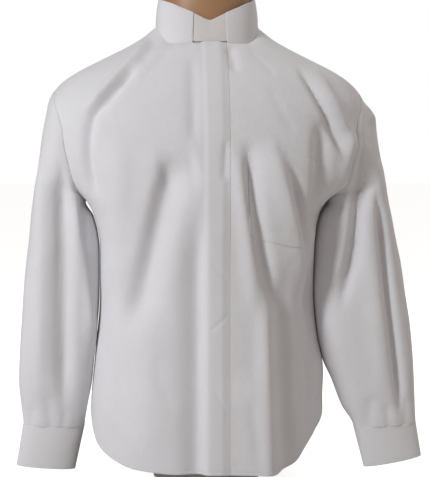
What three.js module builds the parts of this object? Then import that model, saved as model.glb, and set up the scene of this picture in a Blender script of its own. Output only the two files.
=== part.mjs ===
import * as THREE from 'three';
import { mergeVertices } from 'three/addons/utils/BufferGeometryUtils.js';

// Clerical shirt on a limbless torso form.
// Millimetres, +Z up, front towards -Y, the wearer's left towards +X.
// The origin is the centre of the form's flat base.

// Driving sizes
const clothThick = 1.5;
const stripThick = 1.1;
const cuffThick = 2.4;
const seamGap = 0.4;
const armholeGap = 0.7;
const layerGap = 0.35;
const collarGap = 0.9;
const armpitLevel = 452;
const tipLevel = 627.6;
const neckLevel = 733;
const seamAngle = 85;
const placketLeft = -15;
const placketRight = 26;
const frontJoin = 22;
const pocketLeft = 55;
const tabHalf = 32;
const windowHalf = 27;
const bulgeLevel = 182;
const bulgeHeight = 36;
const bulgeOut = 6;
const buttonRadius = 5.5;
const buttonThick = 2.2;
const buttonSeat = 0.45;
const neckCentre = 6;
const collarLean = 0.94;
const collarSwell = 1.2;
const samePoint = 1e-4;

// Tables: named columns, one row for each section or fold
function table(names, rows) {
  const keys = names.split(' ');
  return rows.map((row) => Object.fromEntries(keys.map((key, i) => [key, row[i]])));
}

// Sections of the shirt's body. level is the height at the side, frontZ and backZ are the heights
// at the centre front and back, square is the oval's power, flat the width of the level front,
// and chest the half width that the front and back faces would have without the armpits.
const shirtSections = table('level half chest front back frontZ backZ square flat centre', [
  [20, 191, 191, 128, 118, 20, 20, 2.3, 0, 0],
  [113, 190, 190, 128, 116, 113, 113, 2.3, 0, 0],
  [200, 183, 183, 124, 110, 200, 200, 2.3, 0, 0],
  [300, 174.5, 176, 122, 108, 300, 300, 2.3, 0, 0],
  [380, 174, 182, 127, 118, 380, 380, 2.3, 0, 0],
  [430, 184, 200, 132, 127, 430, 430, 2.3, 0, 2],
  [452, 195.5, 214, 133.5, 130, 452, 452, 2.3, 0, 3],
  [470, 214, 226, 134, 132, 470, 470, 2.3, 0, 4],
  [490, 233, 238, 134, 134, 490, 490, 2.3, 0, 4],
  [510, 246, 248, 133.3, 135, 510, 510, 2.3, 0, 4],
  [535, 257, 257, 131.4, 135, 535, 535, 2.3, 0, 4],
  [560, 262, 262, 128.4, 134, 560, 560, 2.3, 0, 4],
  [600, 258.5, 258.5, 123.6, 131, 585, 592, 2.3, 0, 5],
  [616, 253.5, 253.5, 120.6, 129, 597, 607, 2.3, 0, 6],
  [628, 246.5, 246.5, 117.4, 126, 608, 622, 2.25, 0, 6],
  [643, 232.5, 232.5, 110, 118, 628, 648, 2.2, 5, 6],
  [659, 209, 209, 101, 110, 647, 670, 2.2, 10, 6],
  [680, 168, 168, 88, 98, 668, 696, 2.2, 15, 6],
  [699.5, 129, 129, 76, 86, 685, 722, 2.3, 25, 6],
  [713, 106, 106, 68, 77, 695, 740, 2.4, 32, 6],
  [725.5, 90, 90, 62, 71, 701, 752, 2.5, 37, 6],
  [733, 81, 81, 58, 67, 704, 758, 2.6, 40, 6],
]);

// Sections of the torso form: under the shirt by its wall and a hair at the shoulders
const formSections = table('level half chest front back frontZ backZ square flat centre', [
  [0, 88, 88, 64, 58, 0, 0, 2.1, 0, 0],
  [40, 88, 88, 64, 58, 40, 40, 2.1, 0, 0],
  [90, 102, 102, 74, 67, 90, 90, 2.1, 0, 0],
  [145, 138, 138, 97, 86, 145, 145, 2.2, 0, 0],
  [200, 158, 158, 107, 95, 200, 200, 2.2, 0, 0],
  [300, 152, 152, 105, 93, 300, 300, 2.2, 0, 0],
  [400, 156, 156, 111, 104, 400, 400, 2.2, 0, 1],
  [452, 168, 168, 115, 112, 452, 452, 2.2, 0, 3],
  [500, 184, 184, 116, 116, 500, 500, 2.2, 0, 4],
  [560, 204, 204, 113, 117, 560, 560, 2.2, 0, 4],
  [600, 214, 214, 108, 114, 585, 592, 2.2, 0, 5],
  [620, 218, 218, 103, 112, 602, 612, 2.2, 0, 6],
  [634, 217, 217, 99, 110, 615, 625, 2.2, 0, 6],
  [645, 213, 213, 96, 107, 626, 641, 2.2, 5, 6],
  [655, 205, 205, 91, 103, 638, 656, 2.2, 10, 6],
  [666, 189.5, 189.5, 85, 97, 650, 671, 2.2, 12, 6],
  [677.7, 167, 167, 78, 88, 661, 690, 2.2, 15, 6],
  [697.2, 128, 128, 66, 76, 679, 715, 2.3, 25, 6],
  [710.5, 105, 105, 58.5, 67, 689, 732, 2.4, 32, 6],
  [721.5, 88.5, 88.5, 53.5, 61, 696, 744, 2.4, 37, 6],
  [731, 76, 76, 51, 58, 703, 752, 2.3, 40, 6],
  [745, 71, 71, 49, 57, 722, 762, 2.2, 30, 6],
  [765, 69, 69, 48, 56, 750, 775, 2.1, 0, 6],
  [785, 68, 68, 48, 56, 780, 789, 2, 0, 6],
  [800, 66, 66, 46, 54, 800, 800, 2, 0, 6],
  [805, 50, 50, 34, 42, 805, 805, 2, 0, 6],
]);

// Armhole: the angle round the body of its front and back edge at each level
const armholes = table('level front back', [
  [452, 90, 90],
  [456, 83.5, 97],
  [464, 76.5, 104],
  [477, 69.5, 110],
  [494, 65, 114],
  [520, 61.5, 117],
  [560, 60.5, 118],
  [590, 65, 114.5],
  [606, 70.5, 110],
  [617, 75, 105],
  [624, 79, 100],
  [627.6, 82.5, 95.5],
]);

// Hem height against the angle from the centre: the right and left of the front, and the back
const hemRight = table('angle height', [
  [0, 27.5], [14, 28], [24, 30], [38, 34], [48, 41.5], [60, 53], [70, 65.5], [78, 82], [84, 98], [90, 112],
]);
const hemLeft = table('angle height', [
  [0, 27.5], [14, 25.5], [28, 23.5], [38, 28], [46, 35.5], [54, 51], [62, 64.5], [70, 77], [78, 90],
  [84, 101], [90, 112],
]);
const hemBack = table('angle height', [
  [0, 22], [25, 22], [45, 30], [62, 48], [74, 72], [84, 98], [90, 112],
]);

// Where the pocket's outer edge runs, carried on up and down as a grain line
const pocketRight = table('level x', [
  [20, 140], [385, 146], [525, 174], [600, 180], [640, 160], [680, 125], [700, 100], [733, 72],
]);

// Folds as seen from the front or the back: a line from (x0, z0) to (x1, z1), bowed sideways,
// with the half width and the height of its wave. A negative height is a valley.
const frontFolds = table('x0 z0 x1 z1 bow width height', [
  [-88, 708, -190, 580, 5, 10, -6.5],
  [-192, 600, -186, 455, -12, 12, -6],
  [-30, 525, -76, 480, 0, 20, -4],
  [-66, 520, -136, 240, 0, 15, -9],
  [-50, 440, -80, 300, 4, 16, 5],
  [-38, 420, -36, -60, 2, 17, -6],
  [-32, 665, -32, 560, 0, 9, -3],
  [-110, 330, -100, 60, 0, 26, 4],
  [-150, 560, -158, 300, -6, 20, 4],
  [56, 520, 98, 285, 0, 14, -10],
  [90, 320, 142, -60, 18, 28, -13],
  [38, 535, 72, 230, -5, 15, 6],
  [68, 545, 134, 372, -8, 18, 8],
  [122, 505, 172, 290, 4, 13, -10],
  [158, 580, 188, 480, 0, 16, -7],
  [138, 660, 206, 525, 4, 8, -6.5],
  [160, 655, 224, 520, 7, 10, 5],
  [34, 702, 40, 655, 0, 9, -3],
  [66, 250, 82, -40, 0, 20, 4],
]);
const backFolds = table('x0 z0 x1 z1 bow width height', [
  [-64, 610, -46, -60, 10, 24, -8],
  [58, 600, 50, -60, -8, 22, -7],
  [-128, 560, -98, 60, 8, 22, 7],
  [120, 570, 104, 40, -8, 24, 6],
  [-196, 540, -120, 380, -8, 15, -7],
  [198, 530, 128, 350, 8, 16, -7],
  [4, 330, -2, -60, 0, 20, 5],
  [-150, 330, -140, -20, 0, 20, -6],
  [148, 300, 142, -20, 0, 22, -6],
]);

// Sleeve sections: heights and distances from the centre plane of the outer and inner edge, half
// depth front to back, and middle. Above the armpit the inner edge is only the oval's guide.
const sleeveColumns = 'outerZ outerX innerZ innerX deep centre';
const sleeves = {
  right: table(sleeveColumns, [
    [628, 246, 628, 166, 62, 4], [600, 257, 600, 166, 62, 4], [560, 265.5, 560, 172, 64, 4],
    [520, 271, 520, 182, 61, 4], [500, 274, 500, 188, 59, 4], [480, 278, 480, 194, 57, 3],
    [450.5, 282, 450.5, 198, 55, 3], [428, 285, 428, 186, 54, 2], [398, 287.5, 398, 177.2, 52, 1],
    [375, 290.3, 375, 174.9, 50, 0.5], [350, 293.5, 350, 174.9, 48, 0], [300, 298, 300, 175.5, 44, -2],
    [250, 301.5, 250, 179, 41, -4],
    [205, 304.5, 205, 183.4, 37, -5], [160, 306, 160, 187.9, 33, -6], [120, 302.5, 120, 195.5, 28, -7],
    [90, 299.5, 86, 200.5, 23, -8], [89.6, 301, 85.6, 199.5, 22.5, -8], [24, 312, 17, 215, 19, -10],
  ]),
  left: table(sleeveColumns, [
    [628, 246, 628, 166, 62, 4], [600, 273, 600, 166, 62, 4], [560, 277, 560, 172, 64, 4],
    [520, 283.5, 520, 182, 61, 4], [500, 288.5, 500, 188, 59, 4], [480, 292, 480, 194, 57, 3],
    [450.5, 297, 450.5, 198, 55, 3], [428, 302, 428, 186, 54, 2], [398, 308, 398, 177.2, 52, 1],
    [375, 313, 375, 174.9, 50, 0.5], [350, 318.5, 350, 174.9, 48, 0], [300, 326, 300, 175.4, 44, -2],
    [250, 334, 250, 179.2, 41, -4],
    [190, 340, 190, 190.5, 36, -5], [160, 342, 160, 204, 33, -6], [120, 344, 116, 221, 28, -7],
    [84, 346, 78, 241.5, 23, -8], [83.6, 347, 77.6, 240.5, 22.5, -8], [29, 356, 12, 258, 19, -10],
  ]),
};
const sleeveFolds = {
  right: table('x0 z0 x1 z1 bow width height', [
    [271, 590, 274, 130, 4, 12, 4],
    [242, 520, 244, 110, 0, 12, -5],
    [231, 510, 184, 205, 0, 10, 5],
    [206, 490, 198, 250, 0, 9, -4],
    [262, 130, 254, 70, 0, 6, -4],
    [285, 130, 282, 75, 0, 5, -3],
  ]),
  left: table('x0 z0 x1 z1 bow width height', [
    [266, 480, 313, 100, 4, 8, -7],
    [255, 470, 290, 120, 0, 13, 4],
    [305, 420, 322, 150, 0, 9, -3],
    [220, 440, 236, 280, 0, 11, -5],
    [250, 600, 248, 470, 0, 9, -4],
    [270, 130, 266, 60, 0, 6, -4],
    [292, 120, 296, 60, 0, 5, -3],
  ]),
};

// Top edge of the collar against the angle round the neck
const collarTop = table('angle height', [
  [0, 740], [10, 749], [20, 755], [30, 760], [45, 766.5], [60, 771], [75, 774], [90, 777],
  [120, 785], [150, 793], [180, 797],
]);

// Rows and columns of the walls
const lowRows = [0, 0.13, 0.27, 0.41, 0.55, 0.68, 0.79, 0.87];
const armRows = [452, 456, 464, 477, 494, 514, 532, 556, 580, 598, 612, 621.5, 627.6];
const topRows = [629, 640, 653, 667, 681, 695, 708, 719, 727, 733];
const yokeStart = 8;
const backColumns = 24;
const sleeveColumnsRound = 20;
const collarColumns = 36;
const armpitRow = 6;
const cuffRow = 17;
const formColumns = 28;

const rad = (degrees) => (degrees * Math.PI) / 180;
const mix = (a, b, t) => a + (b - a) * t;
const smooth = (from, to, x) => {
  const t = Math.min(1, Math.max(0, (x - from) / (to - from)));
  return t * t * (3 - 2 * t);
};

// Degrees between an angle round the body and the nearer of centre front and centre back
const awayFromMiddle = (angle) => (Math.acos(Math.min(1, Math.abs(Math.cos(rad(angle))))) * 180) / Math.PI;

// A smooth curve through one column of a table that never overshoots its rows
function track(rows, key, column) {
  const t = rows.map((row) => row[key]);
  const v = rows.map((row) => row[column]);
  const last = t.length - 1;
  const slopes = t.slice(1).map((_, i) => (v[i + 1] - v[i]) / (t[i + 1] - t[i]));
  const tangents = v.map((_, i) => {
    if (i === 0) return slopes[0];
    if (i === last) return slopes[last - 1];
    const product = slopes[i - 1] * slopes[i];
    return product <= 0 ? 0 : (2 * product) / (slopes[i - 1] + slopes[i]);
  });
  return (x) => {
    if (x <= t[0]) return v[0] + tangents[0] * (x - t[0]);
    if (x >= t[last]) return v[last] + tangents[last] * (x - t[last]);
    let i = 0;
    while (x > t[i + 1]) i += 1;
    const h = t[i + 1] - t[i];
    const f = (x - t[i]) / h;
    const g = 1 - f;
    const ends = g * g * (1 + 2 * f) * v[i] + f * f * (3 - 2 * f) * v[i + 1];
    return ends + h * f * g * (g * tangents[i] - f * tangents[i + 1]);
  };
}

// A body surface made of ovals: a point for each angle round it and each level
function ovalSurface(sections) {
  const names = ['half', 'chest', 'front', 'back', 'frontZ', 'backZ', 'square', 'flat', 'centre'];
  const at = Object.fromEntries(names.map((name) => [name, track(sections, 'level', name)]));
  return (angle, level) => {
    const c = Math.cos(rad(angle));
    const s = Math.sin(rad(angle));
    const power = 2 / at.square(level);
    const centre = at.centre(level);
    const reach = Math.abs(c) ** power;
    const off = awayFromMiddle(angle);
    const lean = 1 - smooth(c > 0 ? at.flat(level) : 0, 90, off);
    const middle = c > 0 ? at.frontZ(level) : at.backZ(level);
    const half = mix(at.half(level), at.chest(level), smooth(2, 45, 90 - off));
    return new THREE.Vector3(
      half * Math.sign(s) * Math.abs(s) ** power,
      c > 0 ? centre - (at.front(level) + centre) * reach : centre + (at.back(level) - centre) * reach,
      mix(level, middle, lean),
    );
  };
}

// Outward normal of a surface of two running values, by small steps
function normalOf(surface, angle, level) {
  const step = 0.4;
  const across = surface(angle + step, level).sub(surface(angle - step, level));
  const up = surface(angle, level + step).sub(surface(angle, level - step));
  return across.cross(up).normalize();
}

// Height of all the folds at a place seen from the front
function foldHeight(folds, x, z) {
  let height = 0;
  for (const fold of folds) {
    const dx = fold.x1 - fold.x0;
    const dz = fold.z1 - fold.z0;
    const length = Math.hypot(dx, dz);
    const along = ((x - fold.x0) * dx + (z - fold.z0) * dz) / (length * length);
    if (along > -0.05 && along < 1.05) {
      const aside = ((x - fold.x0) * dz - (z - fold.z0) * dx) / length;
      const distance = (aside - fold.bow * 4 * along * (1 - along)) / fold.width;
      const taper = smooth(-0.05, 0.22, along) * (1 - smooth(0.78, 1.05, along));
      height += fold.height * taper * Math.exp(-distance * distance);
    }
  }
  return height;
}

const shirtOval = ovalSurface(shirtSections);
const formSurface = ovalSurface(formSections);
const chestAt = track(shirtSections, 'level', 'chest');
const squareAt = track(shirtSections, 'level', 'square');
const armFront = track(armholes, 'level', 'front');
const armBack = track(armholes, 'level', 'back');
const hemRightAt = track(hemRight, 'angle', 'height');
const hemLeftAt = track(hemLeft, 'angle', 'height');
const hemBackAt = track(hemBack, 'angle', 'height');
const pocketRightAt = track(pocketRight, 'level', 'x');

// The shirt without its folds: the side seam bulges a little low on the wearer's left
function bareShirt(angle, level) {
  const point = shirtOval(angle, level);
  const rise = (level - bulgeLevel) / bulgeHeight;
  point.x += bulgeOut * Math.exp(-rise * rise) * smooth(0.75, 1, Math.sin(rad(angle)));
  return point;
}

// The shirt's outer surface with its folds, which die out at the sides and the neck
function shirt(angle, level) {
  const point = bareShirt(angle, level);
  const c = Math.cos(rad(angle));
  const height = foldHeight(c > 0 ? frontFolds : backFolds, point.x, point.z);
  const weight = smooth(0.02, 0.32, Math.abs(c)) * (1 - smooth(698, 722, level));
  return point.addScaledVector(normalOf(bareShirt, angle, level), height * weight);
}
const shirtNormal = (angle, level) => normalOf(shirt, angle, level);

// Angle at which the front of the shirt lies at distance x from the centre plane
function angleAt(x, level) {
  const ratio = Math.min(1, Math.abs(x) / chestAt(level));
  return (Math.sign(x) * Math.asin(ratio ** (squareAt(level) / 2)) * 180) / Math.PI;
}

// The cloth on the wearer's left sags a little outside the pocket
function leftSag(angle, level) {
  const high = smooth(300, 400, level) * (1 - smooth(560, 610, level));
  return -14 * high * smooth(12, 44, angle) * (1 - smooth(47, 60, angle));
}

// Level of a row at an angle: rows under the armpit fan out to the curved hem
function lowLevel(share, angle) {
  const off = awayFromMiddle(angle);
  const hemFrontAt = Math.sin(rad(angle)) < 0 ? hemRightAt : hemLeftAt;
  const hem = Math.cos(rad(angle)) > 0 ? hemFrontAt(off) : hemBackAt(off);
  return mix(hem, armpitLevel, share);
}

// Rows of the fronts: level as a function of the angle
const frontLevels = [
  ...lowRows.map((share) => (angle) => lowLevel(share, angle)),
  ...armRows.map((level) => () => level),
  ...topRows.map((level) => () => level),
];
const leftLevels = frontLevels.map((level) => (angle) => level(angle) + leftSag(angle, level(angle)));
const pocketFirst = lowRows.length - 1;
const pocketLast = lowRows.length + armRows.indexOf(532);

// Rows of the back and the yoke, which rise towards the middle of the yoke's seam
const yokeEdge = armRows[yokeStart];
const yokeRise = 643;
function backLevel(level, angle) {
  const middle = level < yokeEdge
    ? mix(armpitLevel, yokeRise, (level - armpitLevel) / (yokeEdge - armpitLevel))
    : mix(yokeRise, neckLevel, (level - yokeEdge) / (neckLevel - yokeEdge));
  return mix(level, middle, smooth(120, 180, angle > 180 ? 360 - angle : angle));
}
const backLevels = [
  ...lowRows.map((share) => (angle) => lowLevel(share, angle)),
  ...armRows.slice(0, yokeStart).map((level) => (angle) => backLevel(level, angle)),
  (angle) => backLevel(yokeEdge - seamGap / 2, angle),
];
const yokeLevels = [
  (angle) => backLevel(yokeEdge + seamGap / 2, angle),
  ...armRows.slice(yokeStart + 1).map((level) => (angle) => backLevel(level, angle)),
  ...topRows.map((level) => (angle) => backLevel(level, angle)),
];

// Side limit of a panel's row, front and back
const frontLimit = (level) => {
  if (level < armpitLevel) return 90;
  return level <= tipLevel ? armFront(level) : seamAngle;
};
const backLimit = (level) => {
  if (level < armpitLevel) return 90;
  return level <= tipLevel ? armBack(level) : seamAngle;
};

// Places along one row: equal steps of cloth between the stops, which are distances from the
// centre plane, and half a seam's gap left free at both ends
function spreadRow(levelOf, from, to, stops) {
  const samples = 90;
  const angles = Array.from({ length: samples + 1 }, (_, i) => mix(from, to, i / samples));
  const points = angles.map((angle) => bareShirt(angle, levelOf(angle)));
  const lengths = [0];
  for (let i = 1; i <= samples; i += 1) lengths.push(lengths[i - 1] + points[i].distanceTo(points[i - 1]));
  const total = lengths[samples];
  const lengthAt = (x) => {
    const i = points.findIndex((p) => Math.abs(p.x - points[0].x) >= Math.abs(x - points[0].x));
    if (i <= 0) return 0;
    return mix(lengths[i - 1], lengths[i], (x - points[i - 1].x) / (points[i].x - points[i - 1].x));
  };
  const angleFor = (length) => {
    const i = Math.max(1, lengths.findIndex((value) => value >= length - 1e-9));
    return mix(angles[i - 1], angles[i], (length - lengths[i - 1]) / (lengths[i] - lengths[i - 1]));
  };
  const marks = [seamGap / 2];
  let start = seamGap / 2;
  for (const stop of stops) {
    const end = stop.x === undefined ? total - seamGap / 2 : lengthAt(stop.x(levelOf(angles[45])));
    for (let k = 1; k <= stop.count; k += 1) marks.push(mix(start, end, k / stop.count));
    start = end;
  }
  return marks.map((length) => {
    const angle = angleFor(length);
    return { angle, level: levelOf(angle) };
  });
}

// Outer and inner points of a wall at the places of a panel, moved out by a distance
function panelPoints(places, out, thick) {
  return places.map((row) => row.map((place) => {
    const normal = shirtNormal(place.angle, place.level);
    const outer = shirt(place.angle, place.level).addScaledVector(normal, out);
    return { outer, inner: outer.clone().addScaledVector(normal, -thick) };
  }));
}

// A closed mesh from triangles, its faces turned outwards
function meshFrom(name, colour, triangles) {
  const kept = triangles.filter(([a, b, c]) => {
    const area = b.clone().sub(a).cross(c.clone().sub(a)).length();
    return area > 1e-5;
  });
  const volume = kept.reduce((sum, [a, b, c]) => sum + a.dot(b.clone().cross(c)), 0);
  const turned = volume < 0 ? kept.map(([a, b, c]) => [a, c, b]) : kept;
  const positions = turned.flat().flatMap((p) => [p.x, p.y, p.z]);
  const loose = new THREE.BufferGeometry();
  loose.setAttribute('position', new THREE.Float32BufferAttribute(positions, 3));
  const geometry = mergeVertices(loose, samePoint);
  geometry.computeVertexNormals();
  const material = new THREE.MeshStandardMaterial({ color: colour, roughness: 0.85, metalness: 0 });
  const mesh = new THREE.Mesh(geometry, material);
  mesh.name = name;
  return mesh;
}

// A wall from a grid of outer and inner points. From row ringFrom on, the last column meets the
// first one, and the wall is a tube.
function wall(name, colour, grid, ringFrom = Infinity) {
  const triangles = [];
  const quad = (a, b, c, d) => triangles.push([a, b, c], [a, c, d]);
  const rows = grid.length - 1;
  const columns = grid[0].length - 1;
  for (let j = 0; j < rows; j += 1) {
    for (let i = 0; i < columns; i += 1) {
      const [a, b, c, d] = [grid[j][i], grid[j][i + 1], grid[j + 1][i + 1], grid[j + 1][i]];
      quad(a.outer, b.outer, c.outer, d.outer);
      triangles.push([c.inner, b.inner, a.inner], [d.inner, c.inner, a.inner]);
    }
    if (j < ringFrom) {
      const [a, d] = [grid[j][0], grid[j + 1][0]];
      const [b, c] = [grid[j][columns], grid[j + 1][columns]];
      quad(a.inner, a.outer, d.outer, d.inner);
      quad(b.outer, b.inner, c.inner, c.outer);
    }
  }
  for (let i = 0; i < columns; i += 1) {
    const [a, b] = [grid[0][i], grid[0][i + 1]];
    const [d, c] = [grid[rows][i], grid[rows][i + 1]];
    quad(a.inner, b.inner, b.outer, a.outer);
    quad(d.outer, c.outer, c.inner, d.inner);
  }
  return meshFrom(name, colour, triangles);
}

const white = 0xdcdad8;
const stiffWhite = 0xe6e4e0;
const buttonWhite = 0xd9d6cf;
const skinTan = 0xb08a66;
const group = new THREE.Group();

// Fronts: the right one runs under the placket, the left one starts at its stitched edge
const placketInner = [-3, 10];
const rightStops = [
  { x: () => placketInner[1], count: 1 }, { x: () => placketInner[0], count: 1 },
  { x: () => placketLeft, count: 1 }, { count: 18 },
];
const leftStops = [
  { x: () => placketRight, count: 1 }, { x: () => pocketLeft, count: 2 },
  { x: pocketRightAt, count: 8 }, { count: 8 },
];
const rowEnd = (levelOf, side) => side * frontLimit(levelOf(side * 90));
const rightPlaces = frontLevels.map((levelOf) => (
  spreadRow(levelOf, angleAt(frontJoin, levelOf(0)), rowEnd(levelOf, -1), rightStops)
));
const leftPlaces = leftLevels.map((levelOf) => (
  spreadRow(levelOf, angleAt(frontJoin, levelOf(0)), rowEnd(levelOf, 1), leftStops)
));
group.add(wall('front_right', white, panelPoints(rightPlaces, 0, clothThick)));
group.add(wall('front_left', white, panelPoints(leftPlaces, 0, clothThick)));

// Placket strip on both fronts, on their own lines of points
const placketLines = [placketLeft, ...placketInner, frontJoin, placketRight];
const placketPlaces = frontLevels.map((levelOf) => placketLines.map((x) => {
  const angle = angleAt(x, levelOf(0));
  return { angle, level: levelOf(angle) };
}));
group.add(wall('placket', white, panelPoints(placketPlaces, layerGap + stripThick, stripThick)));

// Pocket on the left front's own points
const pocketColumnFirst = 3;
const pocketColumnLast = 11;
const pocketPlaces = leftPlaces
  .slice(pocketFirst, pocketLast + 1)
  .map((row) => row.slice(pocketColumnFirst, pocketColumnLast + 1));
group.add(wall('pocket', white, panelPoints(pocketPlaces, layerGap + stripThick, stripThick)));

// Back and yoke
const backPlaces = backLevels.map((levelOf) => {
  const limit = backLimit(levelOf(90));
  return spreadRow(levelOf, limit, 360 - limit, [{ count: backColumns }]);
});
const yokePlaces = yokeLevels.map((levelOf) => {
  const limit = backLimit(levelOf(90));
  return spreadRow(levelOf, limit, 360 - limit, [{ count: backColumns }]);
});
group.add(wall('back', white, panelPoints(backPlaces, 0, clothThick)));
group.add(wall('yoke', white, panelPoints(yokePlaces, 0, clothThick)));

// Oval section of a sleeve or cuff between an outer and an inner edge
function sleeveOval(row, sign, turn) {
  const c = Math.cos(rad(turn));
  const s = Math.sin(rad(turn));
  const across = (1 - c) / 2;
  return new THREE.Vector3(
    sign * mix(row.innerX, row.outerX, across),
    row.centre - row.deep * s,
    mix(row.innerZ, row.outerZ, across),
  );
}

// A sleeve section at an outer height, from its table
function sectionAt(rows) {
  const flipped = [...rows].reverse();
  const names = ['outerX', 'innerZ', 'innerX', 'deep', 'centre'];
  const at = Object.fromEntries(names.map((name) => [name, track(flipped, 'outerZ', name)]));
  return (height) => Object.fromEntries([
    ['outerZ', height], ...names.map((name) => [name, at[name](height)]),
  ]);
}

// One row of the sleeve's cap: from the front edge of the armhole round to its back edge
function capRow(level, sign, section) {
  const row = section(level);
  const aside = new THREE.Vector3(sign * armholeGap, 0, 0);
  const front = shirt(sign * armFront(level), level).add(aside);
  const back = shirt(sign * armBack(level), level).add(aside);
  const middle = (row.innerX + row.outerX) / 2;
  const half = (row.outerX - row.innerX) / 2;
  const turnOf = (p) => {
    const turn = Math.atan2((row.centre - p.y) / row.deep, (middle - sign * p.x) / half);
    return (turn * 180) / Math.PI;
  };
  const first = turnOf(front);
  const last = 360 + turnOf(back);
  const missFront = front.clone().sub(sleeveOval(row, sign, first));
  const missBack = back.clone().sub(sleeveOval(row, sign, last));
  const body = smooth(583, 620, level);
  return Array.from({ length: sleeveColumnsRound + 1 }, (_, i) => {
    const share = i / sleeveColumnsRound;
    const oval = sleeveOval(row, sign, mix(first, last, share));
    oval.addScaledVector(missFront, 1 - smooth(0, 0.4, share));
    oval.addScaledVector(missBack, smooth(0.6, 1, share));
    const angle = mix(armFront(level), armBack(level), share);
    return oval.lerp(shirt(sign * angle, level).add(aside), body);
  });
}

// Sleeve tube with its folds: open along the armhole, closed from the armpit down
function sleeveGrid(side) {
  const sign = side === 'right' ? -1 : 1;
  const section = sectionAt(sleeves[side]);
  const capLevels = armRows.slice(1).reverse();
  capLevels[0] -= seamGap;
  const cap = capLevels.map((level) => capRow(level, sign, section));
  const ringRows = sleeves[side].slice(armpitRow, cuffRow);
  const rings = ringRows.map((row) => Array.from({ length: sleeveColumnsRound + 1 }, (_, i) => (
    sleeveOval(row, sign, (360 * i) / sleeveColumnsRound)
  )));
  const base = [...cap, ...rings];
  const closed = cap.length;
  const normalAt = (points, j, i) => {
    const n = sleeveColumnsRound;
    const tube = j >= closed;
    const left = tube ? points[j][(i - 1 + n) % n] : points[j][Math.max(0, i - 1)];
    const right = tube ? points[j][(i + 1) % n] : points[j][Math.min(n, i + 1)];
    const above = points[Math.max(0, j - 1)][i];
    const below = points[Math.min(points.length - 1, j + 1)][i];
    return right.clone().sub(left).cross(above.clone().sub(below)).normalize().multiplyScalar(sign);
  };
  const folded = base.map((row, j) => row.map((point, i) => {
    const normal = normalAt(base, j, i);
    const front = smooth(0.05, 0.45, -normal.y);
    const rest = 0.6 * smooth(0.05, 0.45, normal.y);
    const fade = smooth(0, 0.12, i / sleeveColumnsRound) * smooth(0, 0.12, 1 - i / sleeveColumnsRound);
    const height = foldHeight(sleeveFolds[side], Math.abs(point.x), point.z);
    return point.clone().addScaledVector(normal, height * (front + rest) * fade);
  }));
  return folded.map((row, j) => row.map((outer, i) => {
    const edge = j < closed && (i === 0 || i === sleeveColumnsRound);
    const level = edge ? capLevels[j] : 0;
    const limit = i === 0 ? armFront(level) : armBack(level);
    const normal = edge ? shirtNormal(sign * limit, level) : normalAt(folded, j, i % sleeveColumnsRound);
    return { outer, inner: outer.clone().addScaledVector(normal, -clothThick), normal };
  }));
}

// A ring wall between two sections, swelling a little in the middle
function cuffGrid(top, bottom, sign) {
  const steps = 3;
  return Array.from({ length: steps + 1 }, (_, j) => {
    const share = j / steps;
    const row = Object.fromEntries(Object.keys(top).map((key) => [key, mix(top[key], bottom[key], share)]));
    const inside = { ...row, outerX: row.outerX - cuffThick, innerX: row.innerX + cuffThick,
      deep: row.deep - cuffThick };
    return Array.from({ length: sleeveColumnsRound + 1 }, (__, i) => {
      const turn = (360 * i) / sleeveColumnsRound;
      return { outer: sleeveOval(row, sign, turn), inner: sleeveOval(inside, sign, turn) };
    });
  });
}

// A flat round button standing on a place with an outward direction
function button(name, place, normal) {
  const geometry = new THREE.CylinderGeometry(buttonRadius, buttonRadius, buttonThick, 16);
  geometry.rotateX(Math.PI / 2);
  const turn = new THREE.Quaternion().setFromUnitVectors(new THREE.Vector3(0, 0, 1), normal);
  const centre = place.clone().addScaledVector(normal, buttonThick / 2 + buttonSeat);
  geometry.applyQuaternion(turn);
  geometry.translate(centre.x, centre.y, centre.z);
  geometry.deleteAttribute('normal');
  geometry.deleteAttribute('uv');
  const merged = mergeVertices(geometry, samePoint);
  const material = new THREE.MeshStandardMaterial({ color: buttonWhite, roughness: 0.4, metalness: 0 });
  const mesh = new THREE.Mesh(merged, material);
  mesh.name = name;
  return mesh;
}

const stripColumns = [11, 12, 13];
const stripRows = 4;
const seatColumn = stripColumns[1];
for (const side of ['right', 'left']) {
  const sign = side === 'right' ? -1 : 1;
  const grid = sleeveGrid(side);
  const closedFrom = armRows.length - 1;
  group.add(wall(`sleeve_${side}`, white, grid, closedFrom));

  // Strip beside the slit at the back of the sleeve, above the cuff
  const strip = grid.slice(-stripRows).map((row) => stripColumns.map((i) => {
    const { outer, normal } = row[i];
    return {
      outer: outer.clone().addScaledVector(normal, layerGap + stripThick),
      inner: outer.clone().addScaledVector(normal, layerGap),
    };
  }));
  group.add(wall(`sleeve_placket_${side}`, white, strip));

  // Cuff and its button
  const rows = sleeves[side];
  const cuff = cuffGrid(rows[cuffRow], rows[cuffRow + 1], sign);
  group.add(wall(`cuff_${side}`, white, cuff, 0));
  const [above, below] = [cuff[1], cuff[2]];
  const seat = above[seatColumn].outer.clone().add(below[seatColumn].outer).multiplyScalar(0.5);
  const across = above[seatColumn + 1].outer.clone().sub(above[seatColumn - 1].outer);
  const down = below[seatColumn].outer.clone().sub(above[seatColumn].outer);
  const away = across.cross(down).normalize();
  if (away.y < 0) away.negate();
  group.add(button(`cuff_button_${side}`, seat, away));
}

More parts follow.
